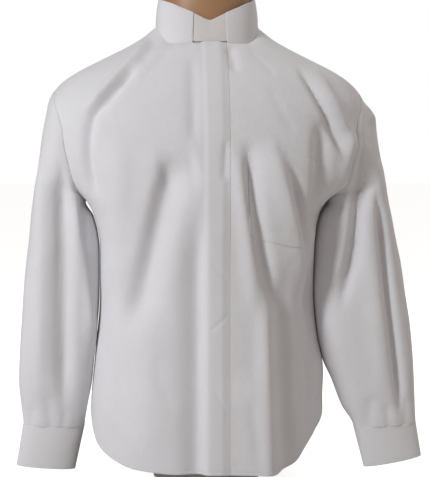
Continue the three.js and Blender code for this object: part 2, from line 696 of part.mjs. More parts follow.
// Collar: a stand all round, a cover that leaves the window, and the slip between them
const collarTopAt = track(collarTop, 'angle', 'height');
const collarBase = (angle) => bareShirt(angle, neckLevel);
function collarPoint(angle, up, out) {
  const base = collarBase(angle);
  const step = 0.5;
  const along = collarBase(angle + step).sub(collarBase(angle - step));
  const away = new THREE.Vector3(along.y, -along.x, 0).normalize();
  const topHeight = collarTopAt(Math.min(Math.abs(angle), 360 - Math.abs(angle)));
  const topY = neckCentre + (base.y - neckCentre) * collarLean;
  const top = new THREE.Vector3(base.x * collarLean, topY, topHeight);
  const foot = base.clone();
  foot.z += collarGap;
  const point = foot.lerp(top, up);
  return point.addScaledVector(away, out + collarSwell * 4 * up * (1 - up));
}
function collarWall(name, colour, angles, range, out, thick) {
  const steps = 3;
  const grid = Array.from({ length: steps + 1 }, (_, j) => {
    const up = mix(range[0], range[1], j / steps);
    return angles.map((angle) => ({
      outer: collarPoint(angle, up, out), inner: collarPoint(angle, up, out - thick),
    }));
  });
  return wall(name, colour, grid);
}
const between = (from, to, count) => Array.from({ length: count + 1 }, (_, i) => mix(from, to, i / count));
const standAngles = between(0.2, 359.8, collarColumns);
const coverEdge = angleAt(windowHalf, neckLevel);
const tabEdge = angleAt(tabHalf, neckLevel);
const coverAngles = between(coverEdge, 360 - coverEdge, collarColumns);
const tabAngles = [...between(-tabEdge, 0, 3), ...between(0, tabEdge, 3).slice(1)];
group.add(collarWall('collar_stand', white, standAngles, [0, 0.97], -1.9, clothThick));
group.add(collarWall('collar_cover', white, coverAngles, [0, 1], 1.5, 1.2));
group.add(collarWall('collar_tab', stiffWhite, tabAngles, [0.04, 0.985], -0.4, 1));

// Torso form: closed ovals from the flat base to the low cap of the neck
function formMesh() {
  const triangles = [];
  const ring = (level) => between(0, 360, formColumns).map((angle) => formSurface(angle, level));
  const rings = formSections.map((section) => ring(section.level));
  const foot = new THREE.Vector3(0, 0, 0);
  const last = formSections[formSections.length - 1];
  const crown = new THREE.Vector3(0, last.centre, last.level);
  for (let i = 0; i < formColumns; i += 1) {
    triangles.push([foot, rings[0][i + 1], rings[0][i]]);
    triangles.push([crown, rings.at(-1)[i], rings.at(-1)[i + 1]]);
    for (let j = 0; j + 1 < rings.length; j += 1) {
      const [a, b, c, d] = [rings[j][i], rings[j][i + 1], rings[j + 1][i + 1], rings[j + 1][i]];
      triangles.push([a, b, c], [a, c, d]);
    }
  }
  return meshFrom('torso_form', skinTan, triangles);
}
group.add(formMesh());

export default group;
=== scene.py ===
# %% [markdown]
# # A clergy shirt on a torso form
# A white clergy shirt is worn by a limbless torso form, as in a shop. The camera stands a little to the
# left of its middle and a little above it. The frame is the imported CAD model: one body, "root", and one
# node for every piece that a maker cuts and sews. Here each cloth node is replaced by a finer piece on
# the same form, and then come the seams, the stitching and the cloth itself.
# Lengths are worked out in millimetres, as a pattern cutter does, and turned into metres at the end.

# %% Load the frame
import math

import bmesh
import bpy
import numpy as np
from mathutils import Matrix, Vector


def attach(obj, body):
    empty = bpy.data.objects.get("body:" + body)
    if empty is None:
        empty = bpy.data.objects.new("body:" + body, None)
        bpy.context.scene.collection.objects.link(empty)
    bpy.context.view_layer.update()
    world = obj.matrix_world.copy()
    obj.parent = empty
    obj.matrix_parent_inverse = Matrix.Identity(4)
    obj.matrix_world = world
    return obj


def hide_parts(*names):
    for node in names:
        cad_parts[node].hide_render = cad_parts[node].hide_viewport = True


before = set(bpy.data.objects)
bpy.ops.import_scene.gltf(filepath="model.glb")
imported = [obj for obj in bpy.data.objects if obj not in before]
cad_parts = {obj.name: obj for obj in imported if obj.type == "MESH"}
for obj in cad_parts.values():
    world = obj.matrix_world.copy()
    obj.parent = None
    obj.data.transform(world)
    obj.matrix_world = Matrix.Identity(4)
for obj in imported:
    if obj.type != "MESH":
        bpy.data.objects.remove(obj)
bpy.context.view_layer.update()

# %% [markdown]
# ## Sizes and curves
# A garment is drawn from a few sizes and a few tables. A table has a row for each section of the body,
# and a smooth curve runs through each of its columns. The curve here is the monotone cubic: unlike a
# spline it never swells past its own rows, so a waist that is listed is the waist that is cut.
# CLOTH and STRIP are thicknesses, a GAP is what a seam leaves open, and the rest are heights on the body,
# angles round it, or places across it.

# %% Sizes and curves
CLOTH = 1.5
STRIP = 1.1
SEAM_GAP = 0.4
ARMHOLE_GAP = 0.25
LAYER_GAP = 0.35
ARMPIT = 452
TIP = 627.6
NECK = 733
SEAM_ANGLE = 85
PLACKET_LEFT = -15
PLACKET_RIGHT = 26
FRONT_JOIN = 22
POCKET_LEFT = 55
TAB_HALF = 32
WINDOW_HALF = 27


def table(names, rows):
    keys = names.split()
    return [dict(zip(keys, row)) for row in rows]


def mix(a, b, t):
    return a + (b - a) * t


def smooth(low, high, x):
    t = np.clip((np.asarray(x, float) - low) / (high - low), 0, 1)
    return t * t * (3 - 2 * t)


def curve(rows, key, column):
    t = np.array([row[key] for row in rows], float)
    v = np.array([row[column] for row in rows], float)
    slopes = np.diff(v) / np.diff(t)
    before, after = slopes[:-1], slopes[1:]
    both = np.where(before + after == 0, 1, before + after)
    inner = np.where(before * after > 0, 2 * before * after / both, 0)
    tangents = np.concatenate(([slopes[0]], inner, [slopes[-1]]))

    def at(x):
        x = np.asarray(x, float)
        i = np.clip(np.searchsorted(t, x, side="right") - 1, 0, len(t) - 2)
        h = t[i + 1] - t[i]
        f = (x - t[i]) / h
        g = 1 - f
        inside = g * g * (1 + 2 * f) * v[i] + f * f * (3 - 2 * f) * v[i + 1]
        inside = inside + h * f * g * (g * tangents[i] - f * tangents[i + 1])
        below = v[0] + tangents[0] * (x - t[0])
        above = v[-1] + tangents[-1] * (x - t[-1])
        return np.where(x < t[0], below, np.where(x > t[-1], above, inside))

    return at


# %% [markdown]
# ## The shirt's body
# Cloth on a body is a stack of ovals. Each row below gives the height at the side, half the width, how
# far the front and back stand out, and how high the same row of cloth lies at the centre front and back,
# because a shirt's rows rise over the shoulders. `square` is the oval's power: 2 is an ellipse, and a
# little more gives the flatter front of a chest.

# %% Sections of the shirt and of the form
SECTION_COLUMNS = "level half chest front back frontZ backZ square flat centre"
shirt_sections = table(SECTION_COLUMNS, [
    (20, 191, 191, 128, 118, 20, 20, 2.3, 0, 0),
    (113, 190, 190, 128, 116, 113, 113, 2.3, 0, 0),
    (200, 183, 183, 124, 110, 200, 200, 2.3, 0, 0),
    (300, 174.5, 176, 122, 108, 300, 300, 2.3, 0, 0),
    (380, 174, 182, 127, 118, 380, 380, 2.3, 0, 0),
    (430, 184, 200, 132, 127, 430, 430, 2.3, 0, 2),
    (452, 195.5, 214, 133.5, 130, 452, 452, 2.3, 0, 3),
    (470, 214, 226, 134, 132, 470, 470, 2.3, 0, 4),
    (490, 233, 238, 134, 134, 490, 490, 2.3, 0, 4),
    (510, 246, 248, 133.3, 135, 510, 510, 2.3, 0, 4),
    (535, 257, 257, 131.4, 135, 535, 535, 2.3, 0, 4),
    (560, 262, 262, 128.4, 134, 560, 560, 2.3, 0, 4),
    (600, 258.5, 258.5, 123.6, 131, 585, 592, 2.3, 0, 5),
    (616, 253.5, 253.5, 120.6, 129, 597, 607, 2.3, 0, 6),
    (628, 246.5, 246.5, 117.4, 126, 608, 622, 2.25, 0, 6),
    (643, 232.5, 232.5, 110, 118, 628, 648, 2.2, 5, 6),
    (659, 209, 209, 101, 110, 647, 670, 2.2, 10, 6),
    (680, 168, 168, 88, 98, 668, 696, 2.2, 15, 6),
    (699.5, 129, 129, 76, 86, 685, 722, 2.3, 25, 6),
    (713, 106, 106, 68, 77, 695, 740, 2.4, 32, 6),
    (725.5, 90, 90, 62, 71, 701, 752, 2.5, 37, 6),
    (733, 81, 81, 58, 67, 704, 758, 2.6, 40, 6),
])
form_sections = table(SECTION_COLUMNS, [
    (0, 88, 88, 64, 58, 0, 0, 2.1, 0, 0),
    (40, 88, 88, 64, 58, 40, 40, 2.1, 0, 0),
    (90, 102, 102, 74, 67, 90, 90, 2.1, 0, 0),
    (145, 138, 138, 97, 86, 145, 145, 2.2, 0, 0),
    (200, 158, 158, 107, 95, 200, 200, 2.2, 0, 0),
    (300, 152, 152, 105, 93, 300, 300, 2.2, 0, 0),
    (400, 156, 156, 111, 104, 400, 400, 2.2, 0, 1),
    (452, 168, 168, 115, 112, 452, 452, 2.2, 0, 3),
    (500, 184, 184, 116, 116, 500, 500, 2.2, 0, 4),
    (560, 204, 204, 113, 117, 560, 560, 2.2, 0, 4),
    (600, 214, 214, 108, 114, 585, 592, 2.2, 0, 5),
    (620, 218, 218, 103, 112, 602, 612, 2.2, 0, 6),
    (634, 217, 217, 99, 110, 615, 625, 2.2, 0, 6),
    (645, 213, 213, 96, 107, 626, 641, 2.2, 5, 6),
    (655, 205, 205, 91, 103, 638, 656, 2.2, 10, 6),
    (666, 189.5, 189.5, 85, 97, 650, 671, 2.2, 12, 6),
    (677.7, 167, 167, 78, 88, 661, 690, 2.2, 15, 6),
    (697.2, 128, 128, 66, 76, 679, 715, 2.3, 25, 6),
    (710.5, 105, 105, 58.5, 67, 689, 732, 2.4, 32, 6),
    (721.5, 88.5, 88.5, 53.5, 61, 696, 744, 2.4, 37, 6),
    (731, 76, 76, 51, 58, 703, 752, 2.3, 40, 6),
    (745, 71, 71, 49, 57, 722, 762, 2.2, 30, 6),
    (765, 69, 69, 48, 56, 750, 775, 2.1, 0, 6),
    (785, 68, 68, 48, 56, 780, 789, 2, 0, 6),
    (800, 66, 66, 46, 54, 800, 800, 2, 0, 6),
    (805, 50, 50, 34, 42, 805, 805, 2, 0, 6),
])


def off_middle(angle):
    return np.degrees(np.arccos(np.minimum(1, np.abs(np.cos(np.radians(angle))))))


def oval_surface(sections):
    names = SECTION_COLUMNS.split()[1:]
    at = {name: curve(sections, "level", name) for name in names}

    def surface(angle, level):
        angle, level = np.broadcast_arrays(np.asarray(angle, float), np.asarray(level, float))
        c, s = np.cos(np.radians(angle)), np.sin(np.radians(angle))
        front = c > 0
        power = 2 / at["square"](level)
        centre = at["centre"](level)
        reach = np.abs(c) ** power
        off = off_middle(angle)
        flat = np.where(front, at["flat"](level), 0)
        share = np.clip((off - flat) / (90 - flat), 0, 1)
        lean = 1 - share * share * (3 - 2 * share)
        middle = np.where(front, at["frontZ"](level), at["backZ"](level))
        half = mix(at["half"](level), at["chest"](level), smooth(2, 45, 90 - off))
        x = half * np.sign(s) * np.abs(s) ** power
        forward = centre - (at["front"](level) + centre) * reach
        backward = centre + (at["back"](level) - centre) * reach
        return np.stack([x, np.where(front, forward, backward), mix(level, middle, lean)], -1)

    return surface


def unit(vectors):
    return vectors / np.maximum(np.linalg.norm(vectors, axis=-1, keepdims=True), 1e-9)


def outward(surface, angle, level, step=0.4):
    across = surface(angle + step, level) - surface(angle - step, level)
    up = surface(angle, level + step) - surface(angle, level - step)
    return unit(np.cross(across, up))


shirt_oval = oval_surface(shirt_sections)
form_surface = oval_surface(form_sections)
BULGE_LEVEL = 182
BULGE_HEIGHT = 36
BULGE_OUT = 6


def bare_shirt(angle, level):
    """The shirt without its folds: the side seam bulges a little low on the wearer's left."""
    point = shirt_oval(angle, level)
    rise = (level - BULGE_LEVEL) / BULGE_HEIGHT
    out = BULGE_OUT * np.exp(-rise * rise) * smooth(0.75, 1, np.sin(np.radians(angle)))
    point[..., 0] += out
    return point


print("half chest at the armpit:", float(bare_shirt(90, ARMPIT)[0]), "mm")

# %% [markdown]
# ## Folds, placed one by one
# Worn cloth breaks into folds where it hangs from the shoulders and chest and where it is gathered into
# the waist. A cloth simulation gives folds of its own choosing. To match one real shirt, each fold is
# drawn as a line seen from the front: where it starts and ends, how far it bows, how wide its wave is and
# how deep. A negative height is a trough. `skew` makes one flank steeper than the other, which is what
# gives a fold its crisp edge. Each wave rises and dies away along its line between the two pairs of
# shares, and all of them fade out at the side seams and the neck.

# %% Folds of the front, back and shoulders
FOLD_COLUMNS = "x0 z0 x1 z1 bow width height skew"
FOLD_START = (-0.05, 0.22)
FOLD_END = (0.78, 1.05)
SIDE_FADE = (0.02, 0.32)
NECK_FADE = (706, 728)
front_folds = table(FOLD_COLUMNS, [
    (-118, 663, -190, 582, 0, 7.5, -9.5, 0.1),
    (-74, 714, -112, 670, 0, 6, -1.5, 0),
    (-92, 709, -199, 595, 0, 7, 8, 0),
    (-181, 600, -178, 462, 12, 8, -9, 0.2),
    (-85, 494, -22, 506, 0, 28, -5, 0),
    (-60, 528, -128, 250, 0, 20, -16, -0.25),
    (-26, 450, -27, -60, 0, 17, -12, 0.35),
    (-30, 684, -31, 545, 0, 9, -3.2, 0),
    (-104, 300, -98, 40, 0, 26, 4, 0),
    (-150, 560, -158, 300, -6, 20, 4, 0),
    (18, 552, 15, 488, 0, 6, -2.2, 0),
    (54, 548, 102, 286, 9, 11, -12, -0.15),
    (82, 330, 90, -60, 0, 15, 8, 0),
    (114, 352, 132, -60, 4, 20, -16, -0.1),
    (164, 350, 168, -60, 0, 30, -14, 0),
    (32, 545, 66, 270, -5, 14, 6, 0),
    (84, 552, 166, 300, -4, 17, 10, 0.4),
    (120, 506, 174, 270, -3, 9, -12, -0.1),
    (172, 584, 172, 400, 0, 15, -12, -0.2),
    (140, 666, 214, 520, -2, 6.5, -8, 0),
    (164, 662, 236, 516, -4, 10, 5, 0),
    (222, 566, 212, 456, 0, 10, 7, 0),
    (30, 702, 38, 655, 0, 8, -4, 0),
    (60, 200, 64, -40, 0, 20, 3, 0),
])
front_creases = table(FOLD_COLUMNS, [
    (-5, 253, 25, 280, 0, 3, -0.9, 0),
    (-4, 362, 22, 335, 0, 3.5, -0.7, 0),
    (-4, 172, 25, 117, 0, 4, -0.7, 0),
    (-120, 560, -60, 540, 3, 7, -0.9, 0),
    (-90, 210, -60, 120, 3, 8, -1.1, 0),
    (-150, 190, -128, 90, 4, 9, -1.2, 0),
    (150, 250, 168, 120, -4, 8, -1.3, 0),
    (60, 150, 74, 50, 3, 8, -1.1, 0),
    (90, 640, 130, 560, 4, 7, -1, 0),
    (-60, 690, -110, 640, 3, 5, -1, 0),
    (60, 690, 100, 650, -3, 5, -1, 0),
])
back_folds = table(FOLD_COLUMNS, [
    (-64, 610, -46, -60, 10, 24, -8, 0),
    (58, 600, 50, -60, -8, 22, -7, 0),
    (-128, 560, -98, 60, 8, 22, 7, 0),
    (120, 570, 104, 40, -8, 24, 6, 0),
    (-196, 540, -120, 380, -8, 15, -7, 0),
    (198, 530, 128, 350, 8, 16, -7, 0),
    (4, 330, -2, -60, 0, 20, 5, 0),
    (-150, 330, -140, -20, 0, 20, -6, 0),
    (148, 300, 142, -20, 0, 22, -6, 0),
])
back_creases = table(FOLD_COLUMNS, [
    (-160, 470, -90, 440, -4, 7, -1.2, 0),
    (160, 452, 96, 430, 4, 8, -1.1, 0),
    (-20, 520, -28, 380, 3, 9, -1.2, 0),
    (84, 260, 92, 110, -4, 9, -1.3, 0),
    (-84, 220, -92, 90, 4, 8, -1.1, 0),
    (26, 210, 22, 70, 2, 8, -1, 0),
])


def fold_height(folds, x, z):
    height = np.zeros_like(x)
    for fold in folds:
        dx, dz = fold["x1"] - fold["x0"], fold["z1"] - fold["z0"]
        length = math.hypot(dx, dz)
        along = ((x - fold["x0"]) * dx + (z - fold["z0"]) * dz) / length**2
        aside = ((x - fold["x0"]) * dz - (z - fold["z0"]) * dx) / length
        aside = aside - fold["bow"] * 4 * along * (1 - along)
        width = fold["width"] * (1 + fold["skew"] * np.tanh(aside / fold["width"]))
        taper = smooth(*FOLD_START, along) * (1 - smooth(*FOLD_END, along))
        height = height + fold["height"] * taper * np.exp(-((aside / width) ** 2))
    return height


def shirt(angle, level):
    angle, level = np.broadcast_arrays(np.asarray(angle, float), np.asarray(level, float))
    point = bare_shirt(angle, level)
    c = np.cos(np.radians(angle))
    front = fold_height(front_folds + front_creases, point[..., 0], point[..., 2])
    back = fold_height(back_folds + back_creases, point[..., 0], point[..., 2])
    height = np.where(c > 0, front, back)
    weight = smooth(*SIDE_FADE, np.abs(c)) * (1 - smooth(*NECK_FADE, level))
    return point + outward(bare_shirt, angle, level) * (height * weight)[..., None]


# %% [markdown]
# ## Where the pieces are cut
# The seams are curves on that surface. An armhole is the angle round the body at which each row stops,
# and the hem is a height for each angle. A shirt hem dips at the front and back and rises to the sides.

# %% Armholes, hem and rows of cloth
armholes = table("level front back", [
    (452, 90, 90), (456, 83.5, 97), (464, 76.5, 104), (477, 69.5, 110), (494, 65, 114),
    (520, 61.5, 117), (560, 60.5, 118), (590, 65, 114.5), (606, 70.5, 110), (617, 75, 105),
    (624, 79, 100), (627.6, 82.5, 95.5),
])
hem_right_at = curve(table("angle height", [
    (0, 27.5), (14, 28), (24, 30), (38, 34), (48, 41.5), (60, 53), (70, 65.5), (78, 82), (84, 98),
    (90, 112),
]), "angle", "height")
hem_left_at = curve(table("angle height", [
    (0, 27.5), (14, 25.5), (28, 23.5), (38, 28), (46, 35.5), (54, 51), (62, 64.5), (70, 77), (78, 90),
    (84, 101), (90, 112),
]), "angle", "height")
hem_back_at = curve(table("angle height", [
    (0, 22), (25, 22), (45, 30), (62, 48), (74, 72), (84, 98), (90, 112),
]), "angle", "height")
pocket_right_at = curve(table("level x", [
    (20, 140), (385, 146), (525, 174), (600, 180), (640, 160), (680, 125), (700, 100), (733, 72),
]), "level", "x")
YOKE_EDGE = 580
YOKE_RISE = 643
arm_front = curve(armholes, "level", "front")
arm_back = curve(armholes, "level", "back")
chest_at = curve(shirt_sections, "level", "chest")
square_at = curve(shirt_sections, "level", "square")

# A row below 1 is a share of the way from the hem to the armpit. Any other row is a level.
# The armhole ends at the shoulder's tip, so the next row starts close above it.
ROW_STEP = 3.0
HEM_LEVEL = 27
TIP_STEP = 0.4
BACK_COLUMNS = 132
low_rows = np.linspace(0, 1, int((ARMPIT - HEM_LEVEL) / ROW_STEP) + 1)[:-1]
arm_rows = np.linspace(ARMPIT, TIP, int((TIP - ARMPIT) / ROW_STEP) + 1)
top_rows = np.linspace(TIP + TIP_STEP, NECK, int((NECK - TIP) / ROW_STEP) + 1)
under_yoke = np.linspace(ARMPIT, YOKE_EDGE - SEAM_GAP / 2, 44)
over_edge = np.linspace(YOKE_EDGE + SEAM_GAP / 2, TIP, 18)
front_rows = np.concatenate([low_rows, arm_rows, top_rows])[:, None]
back_rows = np.concatenate([low_rows, under_yoke])[:, None]
yoke_rows = np.concatenate([over_edge, top_rows])[:, None]


def angle_at(x, level):
    ratio = np.minimum(1, np.abs(x) / chest_at(level))
    return np.sign(x) * np.degrees(np.arcsin(ratio ** (square_at(level) / 2)))


def row_level(rows, angle):
    off = off_middle(angle)
    front = np.where(np.sin(np.radians(angle)) < 0, hem_right_at(off), hem_left_at(off))
    hem = np.where(np.cos(np.radians(angle)) > 0, front, hem_back_at(off))
    return np.where(rows < 1.5, mix(hem, ARMPIT, rows), rows)


def back_level(rows, angle):
    level = row_level(rows, angle)
    below = mix(ARMPIT, YOKE_RISE, (level - ARMPIT) / (YOKE_EDGE - ARMPIT))
    above = mix(YOKE_RISE, NECK, (level - YOKE_EDGE) / (NECK - YOKE_EDGE))
    middle = np.where(level < YOKE_EDGE, below, above)
    risen = mix(level, middle, smooth(120, 180, np.where(angle > 180, 360 - angle, angle)))
    return np.where(rows < 1.5, level, risen)


def side_limit(rows, edge):
    level = row_level(rows, 90)
    above = np.where(level <= TIP, edge(level), SEAM_ANGLE)
    return np.where(level < ARMPIT, 90, above)


def spread(rows, level_of, start, end, columns):
    """Angles and levels of a panel's grid, with equal steps of cloth along each row."""
    share = np.linspace(0, 1, 91)[None, :]
    angles = mix(start, end, share)
    points = bare_shirt(angles, level_of(rows, angles))
    steps = np.linalg.norm(np.diff(points, axis=1), axis=-1)
    lengths = np.concatenate([np.zeros((len(rows), 1)), np.cumsum(steps, axis=1)], axis=1)
    found = []
    for place, length in zip(angles, lengths):
        marks = np.linspace(SEAM_GAP / 2, length[-1] - SEAM_GAP / 2, columns + 1)
        found.append(np.interp(marks, length, place))
    found = np.array(found)
    return found, level_of(rows, found)


def half_front(side, columns):
    """One front, from the join at the middle to the side seam, as angles and levels."""
    start = angle_at(FRONT_JOIN, row_level(front_rows, 0))
    return spread(front_rows, row_level, start, side * side_limit(front_rows, arm_front), columns)


def back_panel(rows):
    limit = side_limit(rows, arm_back)
    return spread(rows, back_level, limit, 360 - limit, BACK_COLUMNS)


print("rows of a front:", len(front_rows))

# %% [markdown]
# ## Small helpers
# Every piece becomes an object in the scene. Round faces are shaded smooth, and the edges of cloth and of
# the form are softened by a small bevel. A modifier that cuts or builds is applied, so that its shape is
# in the mesh itself.

# %% Object helpers
MM = 0.001


def add_object(name, data):
    made = bpy.data.objects.new(name, data)
    bpy.context.collection.objects.link(made)
    return made


def shade_smooth(mesh):
    mesh.polygons.foreach_set("use_smooth", [True] * len(mesh.polygons))


def finished_mesh(name, work):
    mesh = bpy.data.meshes.new(name)
    work.to_mesh(mesh)
    work.free()
    return mesh


def apply_modifiers(piece):
    made = bpy.data.meshes.new_from_object(piece.evaluated_get(bpy.context.evaluated_depsgraph_get()))
    piece.modifiers.clear()
    old, piece.data = piece.data, made
    bpy.data.meshes.remove(old)


def soften(piece, width, segments, angle):
    bevel = piece.modifiers.new("soft edge", "BEVEL")
    bevel.width = width * MM
    bevel.segments = segments
    bevel.limit_method = "ANGLE"
    bevel.angle_limit = math.radians(angle)


# %% [markdown]
# ## From a grid of points to a wall of cloth
# A piece of cloth is a grid of points on its outer face and a second grid one thickness further in. The
# four edges join the two, so the wall is closed. Each point also remembers how far it is from the nearest
# line of topstitching, and the UV map runs along the threads in metres. The material uses both. The
# helper collects the stitched lines too, because the thread is laid in them later.

# %% The cloth wall helper
FAR_FROM_STITCHES = 60.0
THREAD_LIFT = 0.12
WELD = 0.002
EDGE_ROUND = 0.35
stitch_lines = []
pieces = {}


def lengths_along(points, axis):
    steps = np.linalg.norm(np.diff(points, axis=axis), axis=-1)
    start = np.zeros_like(np.take(steps, [0], axis=axis))
    return np.concatenate([start, np.cumsum(steps, axis=axis)], axis=axis)


def distance_from(points, side):
    """Distance over the cloth from one side of the grid to each of its points."""
    axis = 1 if side in ("first", "last") else 0
    length = lengths_along(points, axis)
    if side in ("last", "top"):
        length = np.take(length, [-1], axis=axis) - length
    return length


def line_inside(points, side, inset):
    """The points of a line that runs along one side of the grid, an inset away from it."""
    distance = distance_from(points, side)
    if side in ("bottom", "top"):
        points, distance = points.transpose(1, 0, 2), distance.T
    if side in ("last", "top"):
        points, distance = points[:, ::-1], distance[:, ::-1]
    line = []
    for row, length in zip(points, distance):
        line.append([np.interp(inset, length, row[:, k]) for k in range(3)])
    return np.array(line)


def cloth_wall(name, outer, inner, lines=(), tube_from=None):
    """A closed wall of cloth. lines are (side, inset) of its topstitching, and from row tube_from
    on the last column meets the first one."""
    rows, columns = outer.shape[:2]
    tube_from = rows if tube_from is None else tube_from
    near = np.full((rows, columns), FAR_FROM_STITCHES)
    for side, inset in lines:
        near = np.minimum(near, np.abs(distance_from(outer, side) - inset))
        lift = line_inside(outer - inner, side, inset)
        stitch_lines.append(line_inside(outer, side, inset) + unit(lift) * THREAD_LIFT)
    across = lengths_along(outer, 1)
    across = across - across[:, columns // 2, None]
    up = lengths_along(outer, 0)
    up = up[:, columns // 2, None] + 0 * across
    number = np.arange(rows * columns).reshape(rows, columns)
    under = number + rows * columns
    a, b, c, d = number[:-1, :-1], number[:-1, 1:], number[1:, 1:], number[1:, :-1]
    e, f, g, h = under[:-1, :-1], under[:-1, 1:], under[1:, 1:], under[1:, :-1]
    faces = [np.stack([a, b, c, d], -1).reshape(-1, 4), np.stack([h, g, f, e], -1).reshape(-1, 4)]
    faces.append(np.stack([e[0], f[0], b[0], a[0]], -1))
    faces.append(np.stack([d[-1], c[-1], g[-1], h[-1]], -1))
    left = np.stack([e[:, 0], a[:, 0], d[:, 0], h[:, 0]], -1)
    right = np.stack([b[:, -1], f[:, -1], g[:, -1], c[:, -1]], -1)
    faces += [left[:tube_from], right[:tube_from]]
    faces = np.concatenate(faces)
    points = np.concatenate([outer.reshape(-1, 3), inner.reshape(-1, 3)])
    corners = points[faces]
    turned = np.cross(corners[:, 2] - corners[:, 0], corners[:, 3] - corners[:, 1])
    if (corners.mean(axis=1) * turned).sum() < 0:
        faces = faces[:, ::-1]
    mesh = bpy.data.meshes.new(name)
    mesh.from_pydata((points * MM).tolist(), [], faces.tolist())
    near = np.concatenate([near.ravel(), near.ravel()]) * MM
    mesh.attributes.new("stitched", "FLOAT", "POINT").data.foreach_set("value", near)
    grain = np.stack([across, up], -1).reshape(-1, 2)
    grain = np.concatenate([grain, grain]) * MM
    corner = np.empty(len(mesh.loops), dtype=np.int32)
    mesh.loops.foreach_get("vertex_index", corner)
    mesh.uv_layers.new(name="grain").data.foreach_set("uv", grain[corner].ravel())
    shade_smooth(mesh)
    if tube_from < rows:
        weld = bmesh.new()
        weld.from_mesh(mesh)
        bmesh.ops.remove_doubles(weld, verts=weld.verts, dist=WELD * MM)
        weld.to_mesh(mesh)
        weld.free()
    pieces[name] = add_object(name, mesh)
    soften(pieces[name], EDGE_ROUND, 2, 60)
    wide = float(distance_from(outer, "first")[:, -1].mean())
    tall = float(distance_from(outer, "bottom")[-1].mean())
    rising = outer[1:, 1:] - outer[:-1, :-1]
    falling = outer[1:, :-1] - outer[:-1, 1:]
    area = np.linalg.norm(np.cross(rising, falling), axis=-1).sum() / 2
    print(f"{name}: {len(mesh.polygons)} faces, {wide:.0f} x {tall:.0f} mm, {area / 100:.0f} cm2 of cloth")


HEM_STITCH = 6.0
HEM_EXTRA = 0.7
EDGE_STITCH = 2.0


def panel(name, angles, levels, out=0.0, thick=CLOTH, lines=(), hem=0.0):
    """A panel of the shirt's body at a distance out from its surface, thicker in its hem."""
    normal = outward(shirt, angles, levels)
    outer = shirt(angles, levels) + normal * (out + np.zeros(angles.shape))[..., None]
    depth = thick + np.zeros(angles.shape)
    if hem:
        depth += HEM_EXTRA * (1 - smooth(hem - 0.5, hem + 2.5, distance_from(outer, "bottom")))
    cloth_wall(name, outer, outer - normal * depth[..., None], lines)


# %% [markdown]
# ## The two fronts
# The right front runs on under the button band and stops just short of the left one. Each front is
# one flat piece of cotton with a shaped armhole, shoulder and neck. Its hem is turned up and stitched
# 6 mm from the edge, so the cloth is thicker there.

# %% Fronts
hem_line = [("bottom", HEM_STITCH)]
panel("cloth_front_right", *half_front(-1, 78), lines=hem_line, hem=HEM_STITCH)
panel("cloth_front_left", *half_front(1, 66), lines=hem_line, hem=HEM_STITCH)

# %% [markdown]
# ## The button band and the pocket
# The front closes under a plain band, so no button shows. The band is a folded strip that lies on both
# fronts, with a free edge on the wearer's right and a stitched edge on the left. The pocket is a patch
# with cut corners, and it sags with the cloth under it. Both are made from the points of the surface that
# they lie on, moved out, so that they follow every fold.

# %% Button band
BAND_ROLL = 1.6
ROLL_WIDTH = 8
SETTLE_WIDTH = 14
STITCHED_OUT = 0.5
STITCHED_THICK = 0.4
band_x = np.linspace(PLACKET_LEFT, PLACKET_RIGHT, 29)[None, :]
band_angles = angle_at(band_x, row_level(front_rows, 0))
band_levels = row_level(front_rows, band_angles)
band_lines = [("last", EDGE_STITCH), ("bottom", HEM_STITCH)]
roll = BAND_ROLL * smooth(0, ROLL_WIDTH, band_x - PLACKET_LEFT)
settle = smooth(PLACKET_RIGHT - SETTLE_WIDTH, PLACKET_RIGHT, band_x)
band_out = mix(LAYER_GAP + STRIP + roll, STITCHED_OUT, settle)
band_thick = mix(STRIP, STITCHED_THICK, settle)
panel("cloth_placket", band_angles, band_levels, band_out, band_thick, band_lines)

# %% Patch pocket
POCKET_BOTTOM = 397
POCKET_TOP = 532
POCKET_CORNER = 12
CORNER_SHARE = 0.11
POCKET_OUT = 1.0
POCKET_CLOTH = 0.8
MOUTH_STITCH = 26.0
SAG = 14
pocket_share = np.linspace(0, 1, 43)[None, :]


def left_sag(angle, level):
    high = smooth(300, 400, level) * (1 - smooth(560, 610, level))
    return -SAG * high * smooth(12, 44, angle) * (1 - smooth(47, 60, angle))


from_side = np.minimum(pocket_share, 1 - pocket_share)
cut_corner = POCKET_CORNER * np.maximum(1 - from_side / CORNER_SHARE, 0)
pocket_levels = mix(POCKET_BOTTOM + cut_corner, POCKET_TOP, np.linspace(0, 1, 48)[:, None])
pocket_x = mix(POCKET_LEFT, pocket_right_at(pocket_levels), pocket_share)
pocket_angles = angle_at(pocket_x, pocket_levels)
pocket_levels = pocket_levels + left_sag(pocket_angles, pocket_levels)
pocket_lines = [(edge, EDGE_STITCH) for edge in ("first", "last", "bottom")] + [("top", MOUTH_STITCH)]
panel("cloth_pocket", pocket_angles, pocket_levels, POCKET_OUT, POCKET_CLOTH, pocket_lines)

# %% [markdown]
# ## The back and the yoke
# The yoke is the double piece over the shoulders. Its seam rises towards the middle of the back, and a
# line of stitching holds it just above that seam.

# %% Back and yoke
panel("cloth_back", *back_panel(back_rows), lines=hem_line, hem=HEM_STITCH)
panel("cloth_yoke", *back_panel(yoke_rows), lines=[("bottom", EDGE_STITCH)])

# %% [markdown]
# ## Does the cloth clear the form?
# A deep fold could cut into the form under it. At each height the form is a ring round the same axis, so
# its radius in the direction of a point of the cloth says how much room is left there. The sections of
# the form are tilted, so their points are sorted by height first, one direction at a time.

# %% Room between the cloth and the form
ROOM_STEP = 4.0
ROOM_TURN = 2.0
ROOM_HEIGHTS = np.arange(0, NECK, ROOM_STEP)
ROOM_TURNS = np.arange(-180, 181, ROOM_TURN)


